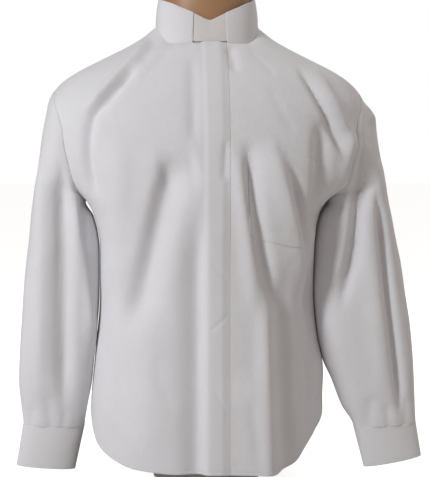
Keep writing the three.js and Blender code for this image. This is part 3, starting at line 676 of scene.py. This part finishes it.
def form_radius():
    radii, heights = [], []
    for level in np.arange(0, 790, ROOM_STEP):
        ring = form_surface(np.arange(-179, 180, ROOM_TURN), level)
        turn = np.degrees(np.arctan2(ring[..., 0], -ring[..., 1]))
        radii.append(np.interp(ROOM_TURNS, turn, np.hypot(ring[..., 0], ring[..., 1])))
        heights.append(np.interp(ROOM_TURNS, turn, ring[..., 2]))
    columns = zip(np.array(heights).T, np.array(radii).T)
    return np.array([np.interp(ROOM_HEIGHTS, height, radius) for height, radius in columns])


form_radii = form_radius()


def room_left(points):
    turn = np.degrees(np.arctan2(points[..., 0], -points[..., 1]))
    column = np.rint((turn + 180) / ROOM_TURN).astype(int)
    step = np.clip(points[..., 2] / ROOM_STEP, 0, len(ROOM_HEIGHTS) - 1.001)
    low = step.astype(int)
    radius = mix(form_radii[column, low], form_radii[column, low + 1], step - low)
    return np.hypot(points[..., 0], points[..., 1]) - radius - CLOTH


shell_angles = np.linspace(-180, 180, 361)[None, :]
shell = shirt(shell_angles, np.linspace(30, 725, 300)[:, None])
room = room_left(shell)
tight = np.unravel_index(np.argmin(room), room.shape)
print(f"least room: {room[tight]:.1f} mm at", shell[tight].round().tolist())

# %% [markdown]
# ## Sleeves
# A sleeve is a tube of ovals that hangs beside the body, and above the armpit it opens along the armhole.
# Each row of the table gives the outer and the inner edge and how deep the tube is from front to back.

# %% Sleeve tables
SLEEVE_COLUMNS = "outerZ outerX innerZ innerX deep centre"
sleeve_rows = {
    "right": table(SLEEVE_COLUMNS, [
        (628, 246, 628, 166, 62, 4), (600, 257, 600, 166, 62, 4), (560, 265.5, 560, 172, 64, 4),
        (520, 271, 520, 182, 61, 4), (500, 274, 500, 188, 59, 4), (480, 278, 480, 194, 57, 3),
        (450.5, 282, 450.5, 198, 55, 3), (428, 285, 428, 186, 54, 2), (398, 287.5, 398, 177.2, 52, 1),
        (375, 290.3, 375, 174.9, 50, 0.5), (350, 293.5, 350, 174.9, 48, 0), (300, 298, 300, 175.5, 44, -2),
        (250, 301.5, 250, 179, 41, -4), (205, 304.5, 205, 183.4, 37, -5), (160, 306, 160, 187.9, 33, -6),
        (120, 302.5, 120, 195.5, 28, -7), (90, 299.5, 86, 200.5, 23, -8),
        (89.6, 301, 85.6, 199.5, 22.5, -8), (24, 312, 17, 215, 19, -10),
    ]),
    "left": table(SLEEVE_COLUMNS, [
        (628, 246, 628, 166, 62, 4), (600, 273, 600, 166, 62, 4), (560, 277, 560, 172, 64, 4),
        (520, 283.5, 520, 182, 61, 4), (500, 288.5, 500, 188, 59, 4), (480, 292, 480, 194, 57, 3),
        (450.5, 297, 450.5, 198, 55, 3), (428, 302, 428, 186, 54, 2), (398, 308, 398, 177.2, 52, 1),
        (375, 313, 375, 174.9, 50, 0.5), (350, 318.5, 350, 174.9, 48, 0), (300, 326, 300, 175.4, 44, -2),
        (250, 334, 250, 179.2, 41, -4), (190, 340, 190, 190.5, 36, -5), (160, 342, 160, 204, 33, -6),
        (120, 344, 116, 221, 28, -7), (84, 346, 78, 241.5, 23, -8), (83.6, 347, 77.6, 240.5, 22.5, -8),
        (29, 356, 12, 258, 19, -10),
    ]),
}
sleeve_folds = {
    "right": table(FOLD_COLUMNS, [
        (271, 590, 274, 130, 4, 12, 4, 0),
        (232, 520, 233, 110, 0, 13, -12, 0),
        (222, 520, 184, 205, 0, 10, 8, -0.2),
        (206, 490, 198, 250, 0, 9, -4, 0),
        (263, 150, 255, 62, 3, 9, -2.2, 0.2),
        (282, 128, 288, 70, -2, 6, -1.5, 0),
        (230, 118, 238, 74, 0, 6, -1.4, -0.2),
    ]),
    "left": table(FOLD_COLUMNS, [
        (272, 480, 320, 92, 3, 8.5, -13, -0.2),
        (252, 450, 288, 120, 0, 14, 4, 0),
        (308, 420, 326, 150, 0, 13, -2, 0),
        (224, 470, 203, 320, -6, 10, 6, 0),
        (266, 612, 250, 440, -3, 16, -10, 0),
        (241, 566, 215, 280, -8, 10, -11, -0.1),
        (268, 136, 264, 58, 2, 9, -2.2, 0.2),
        (292, 122, 302, 60, 2, 6, -1.8, 0),
        (328, 134, 322, 70, -2, 7, -1.6, -0.2),
    ]),
}


def sleeve_oval(row, sign, turn, square=2.0):
    c, s = np.cos(np.radians(turn)), np.sin(np.radians(turn))
    power = 2 / square
    c, s = np.sign(c) * np.abs(c) ** power, np.sign(s) * np.abs(s) ** power
    across = (1 - c) / 2
    x = sign * mix(row["innerX"], row["outerX"], across)
    y = row["centre"] - row["deep"] * s
    z = mix(row["innerZ"], row["outerZ"], across)
    return np.stack(np.broadcast_arrays(x, y, z), -1)


def sleeve_section(rows):
    rows = rows[::-1]
    names = SLEEVE_COLUMNS.split()[1:]
    at = {name: curve(rows, "outerZ", name) for name in names}
    return lambda height: {"outerZ": height, **{name: at[name](height) for name in names}}


# %% [markdown]
# The cap is the hard part. At each height the oval is bent so that its two ends lie on the two edges of
# the armhole, and towards the shoulder it turns into the shoulder's own curve. So the sleeve grows out
# of the seam, with no ledge.

# %% Sleeve grid
SLEEVE_AROUND = 116
SLEEVE_SQUARE = 2.8
ARMPIT_ROW = 6
CUFF_ROW = 17
TIP_GAP = 0.12
HEAD_ROWS = 62
TUBE_ROWS = 124
HEAD_END = 453.2
HEAD_BLEND = (583, 620)
SEAM_FADE = 14
CAP_REACH = (0.16, 0.4)
REACH_LEVEL = 540
SQUARE_FADE = (100, 220)
FOLD_FACING = (0.05, 0.45)
BACK_SHARE = 0.6
BODY_GAP = 0.4
FREE_GAP = 1.4
FREE_LEVEL = 434
FREE_SPREAD = 20
GAP_FADE = (190, 230)


def cap_grid(levels, sign, section):
    level = levels[:, None]
    share = np.linspace(0, 1, SLEEVE_AROUND + 1)[None, :]
    row = section(level)
    aside = np.array([sign * ARMHOLE_GAP, 0, 0])
    front = shirt(sign * arm_front(level), level) + aside
    back = shirt(sign * arm_back(level), level) + aside
    middle = (row["innerX"] + row["outerX"]) / 2
    half = (row["outerX"] - row["innerX"]) / 2

    def turn_of(point):
        rise = (row["centre"] - point[..., 1]) / row["deep"]
        along = (middle - sign * point[..., 0]) / half
        s, c = [np.sign(side) * np.abs(side) ** (SLEEVE_SQUARE / 2) for side in (rise, along)]
        return np.degrees(np.arctan2(s, c))

    first, last = turn_of(front), 360 + turn_of(back)
    miss_front = front - sleeve_oval(row, sign, first, SLEEVE_SQUARE)
    miss_back = back - sleeve_oval(row, sign, last, SLEEVE_SQUARE)
    oval = sleeve_oval(row, sign, mix(first, last, share), SLEEVE_SQUARE)
    reach = mix(*CAP_REACH, smooth(ARMPIT, REACH_LEVEL, level))
    oval = oval + miss_front * (1 - smooth(0, reach, share))[..., None]
    oval = oval + miss_back * smooth(1 - reach, 1, share)[..., None]
    over = shirt(sign * mix(arm_front(level), arm_back(level), share), level) + aside
    return mix(oval, over, smooth(*HEAD_BLEND, level)[..., None])


def grid_normals(points, sign, tube_from):
    left = np.concatenate([points[:, :1], points[:, :-1]], axis=1)
    right = np.concatenate([points[:, 1:], points[:, -1:]], axis=1)
    left[tube_from:, 0] = points[tube_from:, -2]
    right[tube_from:, -1] = points[tube_from:, 1]
    above = np.concatenate([points[:1], points[:-1]])
    below = np.concatenate([points[1:], points[-1:]])
    return unit(np.cross(right - left, above - below)) * sign


def sleeve_grid(side):
    sign = -1 if side == "right" else 1
    rows = sleeve_rows[side]
    section = sleeve_section(rows)
    levels = np.linspace(TIP - TIP_GAP, HEAD_END, HEAD_ROWS)
    heights = np.linspace(rows[ARMPIT_ROW]["outerZ"], rows[CUFF_ROW - 1]["outerZ"], TUBE_ROWS)
    heights = heights[:, None]
    row = section(heights)
    close = BODY_GAP + FREE_GAP * np.exp(-(((heights - FREE_LEVEL) / FREE_SPREAD) ** 2))
    row["innerX"] = row["innerX"] - close * smooth(*GAP_FADE, heights)
    square = mix(2.0, SLEEVE_SQUARE, smooth(*SQUARE_FADE, heights))
    ring = sleeve_oval(row, sign, np.linspace(0, 360, SLEEVE_AROUND + 1)[None, :], square)
    base = np.concatenate([cap_grid(levels, sign, section), ring])
    tube_from = len(levels)
    normal = grid_normals(base, sign, tube_from)
    facing = smooth(*FOLD_FACING, -normal[..., 1]) + BACK_SHARE * smooth(*FOLD_FACING, normal[..., 1])
    from_seam = np.minimum(distance_from(base, "first"), distance_from(base, "last"))
    fade = smooth(0, SEAM_FADE, from_seam)
    fade[tube_from:] = 1
    height = fold_height(sleeve_folds[side], np.abs(base[..., 0]), base[..., 2])
    outer = base + normal * (height * facing * fade)[..., None]
    normal = grid_normals(outer, sign, tube_from)
    for edge, limit in ((0, arm_front), (-1, arm_back)):
        normal[:tube_from, edge] = outward(shirt, sign * limit(levels), levels)
    return outer, normal, tube_from


sleeve_grids = {}
for side in ("right", "left"):
    outer, normal, tube_from = sleeve_grid(side)
    sleeve_grids[side] = (outer, normal)
    cloth_wall(f"cloth_sleeve_{side}", outer, outer - normal * CLOTH, tube_from=tube_from)

# %% [markdown]
# ## Cuffs
# A cuff is a stiff band that wraps the wrist and laps over itself at the back, where it is buttoned. So it
# is drawn as a strip of a little more than one turn: it starts on the outside of the lap and ends on the
# inside.

# %% Cuffs
CUFF_CLOTH = 1.3
CUFF_LAP = 1.1
CUFF_OVER = 1.5
CUFF_STITCH = 5.0
LAP_START = 236
LAP_END = 386
LAP_EASE = 70
cuff_swept = np.linspace(0, LAP_END, 150)


def cuff_grid(top, bottom, sign):
    share = np.linspace(0, 1, 24)[:, None]
    row = {key: mix(top[key], bottom[key], share) for key in top}
    swept = cuff_swept[None, :]
    above = 1 - smooth(0, LAP_EASE, swept)
    below = smooth(LAP_END - LAP_EASE, LAP_END, swept)
    shift = CUFF_LAP * (above - below) - CUFF_LAP
    layers = []
    for depth in (0.0, CUFF_CLOTH):
        inset = depth - shift
        moved = {**row, "outerX": row["outerX"] - inset, "innerX": row["innerX"] + inset,
                 "deep": row["deep"] - inset}
        layers.append(sleeve_oval(moved, sign, LAP_START - swept))
    return layers


cuff_outer = {}
for side in ("right", "left"):
    sign = -1 if side == "right" else 1
    top = dict(sleeve_rows[side][CUFF_ROW])
    top["outerZ"] += CUFF_OVER
    top["innerZ"] += CUFF_OVER
    outer, inner = cuff_grid(top, sleeve_rows[side][CUFF_ROW + 1], sign)
    cuff_outer[side] = outer
    cuff_lines = [(edge, CUFF_STITCH) for edge in ("bottom", "top", "first")]
    cloth_wall(f"cloth_cuff_{side}", outer, inner, cuff_lines)

# %% [markdown]
# ## Slit strips and cuff buttons
# Above the cuff the sleeve is slit, so that a hand can pass. A narrow strip binds the slit and is stitched
# all round. The button is turned from resin: a raised rim, a dished middle and four holes.

# %% Slit strips
SLIT_ROWS = 34
SLIT_START = 0.55
SLIT_END = 0.65
strip_lines = [(edge, EDGE_STITCH) for edge in ("first", "last", "bottom")]
for side in ("right", "left"):
    outer, normal = sleeve_grids[side]
    columns = slice(round(SLIT_START * SLEEVE_AROUND), round(SLIT_END * SLEEVE_AROUND) + 1)
    face, away = outer[-SLIT_ROWS:, columns], normal[-SLIT_ROWS:, columns]
    strip_outer = face + away * (LAYER_GAP + STRIP)
    cloth_wall(f"cloth_slit_{side}", strip_outer, face + away * LAYER_GAP, strip_lines)

# %% Cuff buttons
HOLE_PLACE = 1.15
HOLE_RADIUS = 0.62
BUTTON_TURN = 216
BUTTON_ROW = 12
BUTTON_LIFT = 0.3
button_profile = [(0, 1.5), (2.6, 1.5), (3.6, 1.75), (4.4, 2.2), (5.1, 2.15), (5.5, 1.6), (5.5, 0.7),
                  (5.0, 0.1), (0, 0)]


def turned_button(name):
    """The profile, from the middle of the top to the middle of the back, turned round its axis."""
    around = 40
    work = bmesh.new()
    rings = []
    for radius, height in button_profile:
        if radius == 0:
            rings.append([work.verts.new((0, 0, height))])
            continue
        turns = [2 * math.pi * k / around for k in range(around)]
        rings.append([work.verts.new((radius * math.cos(t), radius * math.sin(t), height)) for t in turns])
    for low, high in zip(rings[:-1], rings[1:]):
        for k in range(around):
            places = ((low, k), (high, k), (high, k + 1), (low, k + 1))
            corners = [ring[place % len(ring)] for ring, place in places]
            work.faces.new([v for i, v in enumerate(corners) if v not in corners[:i]])
    bmesh.ops.recalc_face_normals(work, faces=work.faces)
    return add_object(name, finished_mesh(name, work))


def drill(piece):
    """Four holes through a button, cut with a Boolean and applied."""
    holes = bmesh.new()
    for x in (-HOLE_PLACE, HOLE_PLACE):
        for y in (-HOLE_PLACE, HOLE_PLACE):
            made = bmesh.ops.create_cone(holes, cap_ends=True, segments=14, radius1=HOLE_RADIUS,
                                         radius2=HOLE_RADIUS, depth=8)
            bmesh.ops.translate(holes, verts=made["verts"], vec=(x, y, 1))
    tool = add_object("holes", finished_mesh("holes", holes))
    cut = piece.modifiers.new("holes", "BOOLEAN")
    cut.object = tool
    cut.operation = "DIFFERENCE"
    cut.solver = "EXACT"
    apply_modifiers(piece)
    bpy.data.objects.remove(tool)


column = int(np.argmin(np.abs(cuff_swept - (LAP_START - BUTTON_TURN))))
for side in ("right", "left"):
    outer = cuff_outer[side]
    across = outer[BUTTON_ROW, column + 1] - outer[BUTTON_ROW, column - 1]
    down = outer[BUTTON_ROW + 1, column] - outer[BUTTON_ROW - 1, column]
    away = unit(np.cross(across, down))
    if away[1] < 0:
        away = -away
    button = turned_button(f"button_{side}")
    drill(button)
    place = Vector(away).to_track_quat("Z", "Y").to_matrix().to_4x4()
    place.translation = Vector(outer[BUTTON_ROW, column] + away * BUTTON_LIFT)
    button.data.transform(place)
    button.data.transform(Matrix.Scale(MM, 4))
    shade_smooth(button.data)
    pieces[f"button_{side}"] = button

# %% [markdown]
# ## The collar
# A clergy collar is a standing band with a window at the front. A stiff white slip stands in the window,
# between the band's inner layer and its cover. The band is lower at the front, where its two arms run
# down to a shallow V, and higher at the back.

# %% Collar
COLLAR_GAP = 0.25
COLLAR_TAPER = 0.94
COLLAR_CENTRE = 6
COLLAR_SWELL = 1.2
collar_top_at = curve(table("angle height", [
    (0, 740), (10, 749), (20, 755), (30, 760), (45, 766.5), (60, 771), (75, 774), (90, 777),
    (120, 785), (150, 793), (180, 797),
]), "angle", "height")


def collar_point(angle, up, out):
    angle, up = np.broadcast_arrays(angle, up)
    base = bare_shirt(angle, NECK)
    along = bare_shirt(angle + 0.5, NECK) - bare_shirt(angle - 0.5, NECK)
    away = unit(np.stack([along[..., 1], -along[..., 0], 0 * angle], -1))
    height = collar_top_at(np.minimum(np.abs(angle), 360 - np.abs(angle)))
    deep = COLLAR_CENTRE + (base[..., 1] - COLLAR_CENTRE) * COLLAR_TAPER
    top = np.stack([base[..., 0] * COLLAR_TAPER, deep, height], -1)
    point = mix(base + np.array([0, 0, COLLAR_GAP]), top, up[..., None])
    return point + away * (out + COLLAR_SWELL * 4 * up * (1 - up))[..., None]


def collar_band(name, angles, low, high, out, thick, lines=()):
    up = np.linspace(low, high, 22)[:, None]
    outer = collar_point(angles[None, :], up, out)
    inner = collar_point(angles[None, :], up, out - thick)
    cloth_wall(name, outer, inner, lines)


cover_edge = float(angle_at(WINDOW_HALF, NECK))
tab_edge = float(angle_at(TAB_HALF, NECK))
collar_band("cloth_collar_stand", np.linspace(0.2, 359.8, 220), 0, 0.97, -1.9, CLOTH)
cover_lines = [("first", 1.8), ("last", 1.8), ("top", 3.0), ("bottom", 1.6)]
cover_angles = np.linspace(cover_edge, 360 - cover_edge, 200)
collar_band("cloth_collar_cover", cover_angles, -0.02, 1, 1.4, 1.1, cover_lines)
collar_band("collar_slip", np.linspace(-tab_edge, tab_edge, 40), 0.04, 0.985, 0.05, 1.0)

# %% [markdown]
# ## The torso form
# The form is a smooth shell with no arms. Only its neck shows above the collar. Its foot, which stands
# behind the hem, is painted white. It is the same stack of ovals as in the CAD, drawn with many more
# points, so that the neck is round.

# %% Torso form
form_levels = np.unique(np.concatenate([np.linspace(0, 700, 60), np.linspace(700, 805, 60)]))
form_around = 96
turn = np.arange(form_around) * 360 / form_around
rings = form_surface(turn[None, :], form_levels[:, None])
form_work = bmesh.new()
grid = [[form_work.verts.new(point * MM) for point in ring] for ring in rings]
for low, high in zip(grid[:-1], grid[1:]):
    for k in range(form_around):
        after = (k + 1) % form_around
        form_work.faces.new([low[k], low[after], high[after], high[k]])
form_work.faces.new(grid[0][::-1])
form_work.faces.new(grid[-1])
bmesh.ops.recalc_face_normals(form_work, faces=form_work.faces)
form_mesh = finished_mesh("form_shell", form_work)
shade_smooth(form_mesh)
pieces["form_shell"] = add_object("form_shell", form_mesh)
soften(pieces["form_shell"], 2, 3, 40)
print("form:", len(form_mesh.polygons), "faces")

# %% [markdown]
# ## Materials
# Shader maths reads badly as nodes wired by hand, so a small class wraps a socket and gives it the usual
# operators. An expression then adds its own Math nodes.

# %% The shader helper
class Wire:
    """A shader socket, or a number, that can be added, multiplied and so on."""

    def __init__(self, tree, socket):
        self.tree, self.socket = tree, socket

    def node(self, kind, settings=None, **inputs):
        made = self.tree.nodes.new(kind)
        for key, value in (settings or {}).items():
            setattr(made, key, value)
        for key, value in inputs.items():
            key = int(key[1:]) if key[0] == "_" else key.replace("_", " ")
            if isinstance(value, Wire):
                self.tree.links.new(value.socket, made.inputs[key])
            else:
                made.inputs[key].default_value = value
        return made

    def read(self, kind, output, settings=None, **inputs):
        """One output of a new node."""
        return Wire(self.tree, self.node(kind, settings, **inputs).outputs[output])

    def math(self, operation, *values):
        inputs = {f"_{k}": value for k, value in enumerate(values)}
        return self.read("ShaderNodeMath", 0, {"operation": operation}, **inputs)

    def noise(self, place, scale, detail):
        return self.read("ShaderNodeTexNoise", "Fac", Vector=place, Scale=scale, Detail=detail)

    def blend(self, share, first, second):
        return self.read("ShaderNodeMix", 2, {"data_type": "RGBA"}, _0=share, _6=first, _7=second)

    def to(self, socket):
        self.tree.links.new(self.socket, socket)

    def __add__(self, other): return self.math("ADD", self, other)
    def __radd__(self, other): return self.math("ADD", other, self)
    def __sub__(self, other): return self.math("SUBTRACT", self, other)
    def __rsub__(self, other): return self.math("SUBTRACT", other, self)
    def __mul__(self, other): return self.math("MULTIPLY", self, other)
    def __rmul__(self, other): return self.math("MULTIPLY", other, self)


def new_material(name):
    material = bpy.data.materials.new(name)
    material.use_nodes = True
    tree = material.node_tree
    shader = tree.nodes["Principled BSDF"]
    return material, Wire(tree, None), shader


WEAVE_SCALE = 110.0
GROOVE_STEEP = 900.0
GROOVE_DEPTH = 0.25


def cotton(name, light, shade, weave=0.02, rumple=0.25):
    """Woven cotton: threads, soft and fine rumples, and a groove along the stitching, all as bump."""
    material, wire, shader = new_material(name)
    grain = wire.read("ShaderNodeUVMap", "UV", {"uv_map": "grain"})
    place = wire.read("ShaderNodeTexCoord", "Object")
    soft = wire.noise(place, 26.0, 3.0)
    wire.blend(soft, (*light, 1), (*shade, 1)).to(shader.inputs["Base Color"])
    warp, weft = [wire.read("ShaderNodeTexWave", "Fac", {"wave_type": "BANDS", "bands_direction": way},
                            Vector=grain, Scale=WEAVE_SCALE, Distortion=0.0) for way in "XY"]
    near = wire.read("ShaderNodeAttribute", "Fac", {"attribute_name": "stitched"})
    groove = near.math("SMOOTH_MIN", near * GROOVE_STEEP, 1.0, 0.3)
    wide = wire.noise(place, 75.0, 2.0)
    fine = wire.noise(place, 320.0, 2.0)
    surface = warp * weft * (weave * MM) + wide * (rumple * MM * 3) + fine * (rumple * MM * 0.3)
    height = surface + groove * (GROOVE_DEPTH * MM)
    bump = wire.read("ShaderNodeBump", "Normal", Height=height, Distance=1.0, Strength=1.0)
    bump.to(shader.inputs["Normal"])
    (0.78 + fine * 0.12).to(shader.inputs["Roughness"])
    shader.inputs["Sheen Weight"].default_value = 0.12
    shader.inputs["Specular IOR Level"].default_value = 0.25
    return material


white_cotton = cotton("white_cotton", (0.765, 0.765, 0.79), (0.71, 0.71, 0.735))
band_cotton = cotton("band_cotton", (0.755, 0.75, 0.77), (0.72, 0.715, 0.735), rumple=0.12)
# The slip is a little off-white, and its colour is also darkened as painted shade for the shadow that
# falls into the recessed window.
offwhite_slip_painted_shade = cotton("offwhite_slip_painted_shade", (0.72, 0.70, 0.69), (0.68, 0.66, 0.65), weave=0.0, rumple=0.04)

FOOT_TOP = 0.046
FOOT_WHITE = (0.86, 0.86, 0.86, 1)


def smooth_plastic(name, light, shade, roughness, scale, foot_top=None):
    material, wire, shader = new_material(name)
    place = wire.read("ShaderNodeTexCoord", "Object")
    soft = wire.noise(place, scale, 4.0)
    colour = wire.blend(soft, (*light, 1), (*shade, 1))
    if foot_top is not None:
        height = wire.read("ShaderNodeSeparateXYZ", "Z", Vector=place)
        colour = wire.blend(height.math("LESS_THAN", height, foot_top), colour, FOOT_WHITE)
    colour.to(shader.inputs["Base Color"])
    (roughness + soft * 0.12).to(shader.inputs["Roughness"])
    return material


form_skin = smooth_plastic("form_skin", (0.45, 0.25, 0.13), (0.36, 0.19, 0.095), 0.42, 18.0, FOOT_TOP)
button_resin = smooth_plastic("button_resin", (0.78, 0.76, 0.71), (0.66, 0.64, 0.58), 0.22, 240.0)
thread_white = smooth_plastic("thread_white", (0.78, 0.77, 0.775), (0.70, 0.69, 0.70), 0.7, 900.0)

stiff_pieces = ("cloth_placket", "cloth_collar_cover", "cloth_collar_stand", "cloth_cuff_right",
                "cloth_cuff_left")
finishes = {"form_shell": form_skin, "collar_slip": offwhite_slip_painted_shade, "button_right": button_resin,
            "button_left": button_resin, **{name: band_cotton for name in stiff_pieces}}
for name, piece in pieces.items():
    piece.data.materials.append(finishes.get(name, white_cotton))

# %% [markdown]
# ## Stitching
# A row of stitches follows a line and repeats, which is what Geometry Nodes are for. One tree takes the
# lines as a mesh of edges, steps along them at the stitch length, and lays one short thread on each step,
# turned along the line. It ends in Realize Instances, so that the threads are plain mesh.

# %% The stitch tree
def stitch_tree():
    tree = bpy.data.node_groups.new("stitch_rows", "GeometryNodeTree")
    tree.interface.new_socket("Lines", in_out="INPUT", socket_type="NodeSocketGeometry")
    sizes = {"Stitch length": 2.6, "Thread length": 1.9, "Thread thickness": 0.42}
    for label, value in sizes.items():
        size = tree.interface.new_socket(label, in_out="INPUT", socket_type="NodeSocketFloat")
        size.default_value = value * MM
    tree.interface.new_socket("Thread", in_out="INPUT", socket_type="NodeSocketMaterial")
    tree.interface.new_socket("Stitches", in_out="OUTPUT", socket_type="NodeSocketGeometry")
    kinds = {
        "given": "NodeGroupInput", "out": "NodeGroupOutput", "line": "GeometryNodeMeshToCurve",
        "step": "GeometryNodeResampleCurve", "tangent": "GeometryNodeInputTangent",
        "turn": "FunctionNodeAlignRotationToVector", "thread": "GeometryNodeMeshUVSphere",
        "size": "ShaderNodeCombineXYZ", "place": "GeometryNodeInstanceOnPoints",
        "real": "GeometryNodeRealizeInstances", "finish": "GeometryNodeSetMaterial",
    }
    made = {name: tree.nodes.new(kind) for name, kind in kinds.items()}
    made["step"].mode = "LENGTH"
    made["turn"].axis = "X"
    for name, value in (("Segments", 6), ("Rings", 4), ("Radius", 0.5)):
        made["thread"].inputs[name].default_value = value
    for source, output, target, place in (
        ("given", "Lines", "line", 0), ("line", 0, "step", "Curve"),
        ("given", "Stitch length", "step", "Length"), ("tangent", 0, "turn", "Vector"),
        ("given", "Thread length", "size", "X"), ("given", "Thread thickness", "size", "Y"),
        ("given", "Thread thickness", "size", "Z"), ("step", 0, "place", "Points"),
        ("thread", "Mesh", "place", "Instance"), ("turn", 0, "place", "Rotation"),
        ("size", 0, "place", "Scale"), ("place", 0, "real", 0), ("real", 0, "finish", "Geometry"),
        ("given", "Thread", "finish", "Material"), ("finish", 0, "out", 0),
    ):
        tree.links.new(made[source].outputs[output], made[target].inputs[place])
    return tree


stitch_rows = stitch_tree()


def sew(name, paths):
    points, edges = [], []
    for path in paths:
        first = len(points)
        points += (path * MM).tolist()
        edges += [(first + k, first + k + 1) for k in range(len(path) - 1)]
    mesh = bpy.data.meshes.new(name)
    mesh.from_pydata(points, edges, [])
    piece = add_object(name, mesh)
    modifier = piece.modifiers.new("stitches", "NODES")
    modifier.node_group = stitch_rows
    for item in stitch_rows.interface.items_tree:
        if item.name == "Thread" and item.in_out == "INPUT":
            modifier[item.identifier] = thread_white
    apply_modifiers(piece)
    shade_smooth(piece.data)
    print(f"{name}: {len(piece.data.polygons)} faces of thread")
    return piece


stitching = sew("stitching", stitch_lines)

# %% [markdown]
# ## Handing the pieces to the frame
# Each piece rides on the one body, and the CAD node that it stands for is hidden. The tables also list
# each piece's finish slot, and for each piece of cloth the flat size that it was cut to in metres, how it
# is held, and what it rests on; nothing here reads these columns.

# %% Ride on the body and hide the CAD nodes
hard_pieces = table("piece node slot", [
    ("button_right", "cuff_button_right", "shirt_button"),
    ("button_left", "cuff_button_left", "shirt_button"),
    ("form_shell", "torso_form", "form_skin"),
])
sheets = table("piece node slot width length area held on", [
    ("cloth_front_right", "front_right", "shirt_cloth", 0.300, 0.745, 0.190, "draped", "form_shell"),
    ("cloth_front_left", "front_left", "shirt_cloth", 0.255, 0.745, 0.161, "draped", "form_shell"),
    ("cloth_placket", "placket", "shirt_cloth", 0.043, 0.705, 0.0295, "hung", "cloth_front_right"),
    ("cloth_pocket", "pocket", "shirt_cloth", 0.120, 0.142, 0.0168, "hung", "cloth_front_left"),
    ("cloth_back", "back", "shirt_cloth", 0.560, 0.620, 0.284, "hung", "cloth_yoke"),
    ("cloth_yoke", "yoke", "shirt_cloth", 0.530, 0.205, 0.079, "draped", "form_shell"),
    ("cloth_sleeve_right", "sleeve_right", "shirt_cloth", 0.330, 0.600, 0.155, "hung", "cloth_yoke"),
    ("cloth_sleeve_left", "sleeve_left", "shirt_cloth", 0.350, 0.600, 0.175, "hung", "cloth_yoke"),
    ("cloth_slit_right", "sleeve_placket_right", "shirt_cloth", 0.026, 0.098, 0.0024, "hung",
     "cloth_sleeve_right"),
    ("cloth_slit_left", "sleeve_placket_left", "shirt_cloth", 0.027, 0.100, 0.0026, "hung",
     "cloth_sleeve_left"),
    ("cloth_cuff_right", "cuff_right", "shirt_cloth", 0.240, 0.068, 0.0163, "stretched",
     "cloth_sleeve_right"),
    ("cloth_cuff_left", "cuff_left", "shirt_cloth", 0.248, 0.062, 0.0153, "stretched",
     "cloth_sleeve_left"),
    ("cloth_collar_stand", "collar_stand", "shirt_cloth", 0.470, 0.046, 0.0200, "stretched",
     "form_shell"),
    ("cloth_collar_cover", "collar_cover", "shirt_cloth", 0.438, 0.048, 0.0196, "stretched",
     "cloth_collar_stand"),
    ("collar_slip", "collar_tab", "collar_slip", 0.064, 0.042, 0.0025, "stretched",
     "cloth_collar_stand"),
])
for row in sheets + hard_pieces:
    piece = pieces[row["piece"]]
    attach(piece, "root")
    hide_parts(row["node"])
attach(stitching, "root")

# %% [markdown]
# ## Floor, light and camera
# The photo has a plain white background and light that comes mostly from the left. A lamp on that side
# shows the folds, a wide weak one opens the shadows, two more light the shoulders and the back, and a pale
# world fills the rest. The floor and the world look white to the camera only.

# %% Floor
FLOOR = 14.0
floor_mesh = bpy.data.meshes.new("floor")
floor_corners = [(-FLOOR, -FLOOR, 0), (FLOOR, -FLOOR, 0), (FLOOR, FLOOR, 0), (-FLOOR, FLOOR, 0)]
floor_mesh.from_pydata(floor_corners, [], [(0, 1, 2, 3)])
floor = add_object("floor", floor_mesh)
floor_paint, floor_wire, floor_shader = new_material("floor_paint")
floor_shader.inputs["Base Color"].default_value = (0.6, 0.58, 0.56, 1)
floor_shader.inputs["Roughness"].default_value = 0.9
floor_shader.inputs["Emission Color"].default_value = (1, 1, 1, 1)
floor_seen = floor_wire.read("ShaderNodeLightPath", "Is Camera Ray")
(floor_seen * 0.85).to(floor_shader.inputs["Emission Strength"])
floor_mesh.materials.append(floor_paint)


# %% Lights
def lamp(name, place, size, power, colour, target=(0, 0, 0.4)):
    data = bpy.data.lights.new(name, "AREA")
    data.shape = "DISK"
    data.size = size
    data.energy = power
    data.color = colour
    made = add_object(name, data)
    made.location = place
    made.rotation_euler = (Vector(target) - Vector(place)).to_track_quat("-Z", "Y").to_euler()


lamp("key", (-2.4, -2.1, 1.7), 0.7, 70.5, (0.955, 0.97, 1.0))
lamp("fill", (2.8, -1.2, 1.2), 2.4, 8, (1.0, 0.95, 0.9))
lamp("top", (1.4, 0.4, 2.6), 1.6, 15, (1.0, 0.98, 0.96))
lamp("back", (0.6, 2.6, 1.5), 1.8, 24, (1.0, 0.98, 0.96))
world = bpy.data.worlds.new("studio")
bpy.context.scene.world = world
world.use_nodes = True
studio = Wire(world.node_tree, None)
seen = studio.read("ShaderNodeLightPath", "Is Camera Ray")
room_light = studio.blend(seen, (0.228, 0.203, 0.185, 1), (1, 1, 1, 1))
room_light.to(world.node_tree.nodes["Background"].inputs["Color"])
bpy.context.scene.view_settings.view_transform = "Standard"

# %% Camera
# The camera stands 4.5 degrees to the wearer's right and 4 degrees up, 2.5 m away. One pixel is 1.63 mm at
# the middle of the shirt, and the point that it looks at lies 8 pixels left of the picture's middle.
AZIMUTH = math.radians(-4.5)
ELEVATION = math.radians(4.0)
DISTANCE = 2.5
PIXEL = 0.00163
HIGH = 477
target = Vector((0, 0, 0.39))
aim = Vector((math.sin(AZIMUTH) * math.cos(ELEVATION), -math.cos(AZIMUTH) * math.cos(ELEVATION),
              math.sin(ELEVATION)))
camera_data = bpy.data.cameras.new("camera")
camera_data.sensor_width = 36
camera_data.lens = 36 * DISTANCE / (PIXEL * HIGH)
camera_data.shift_x = 8 / HIGH
camera = add_object("camera", camera_data)
camera.location = target + aim * DISTANCE
camera.rotation_euler = (-aim).to_track_quat("-Z", "Y").to_euler()
bpy.context.scene.camera = camera
print("lens:", round(camera_data.lens, 1), "mm")
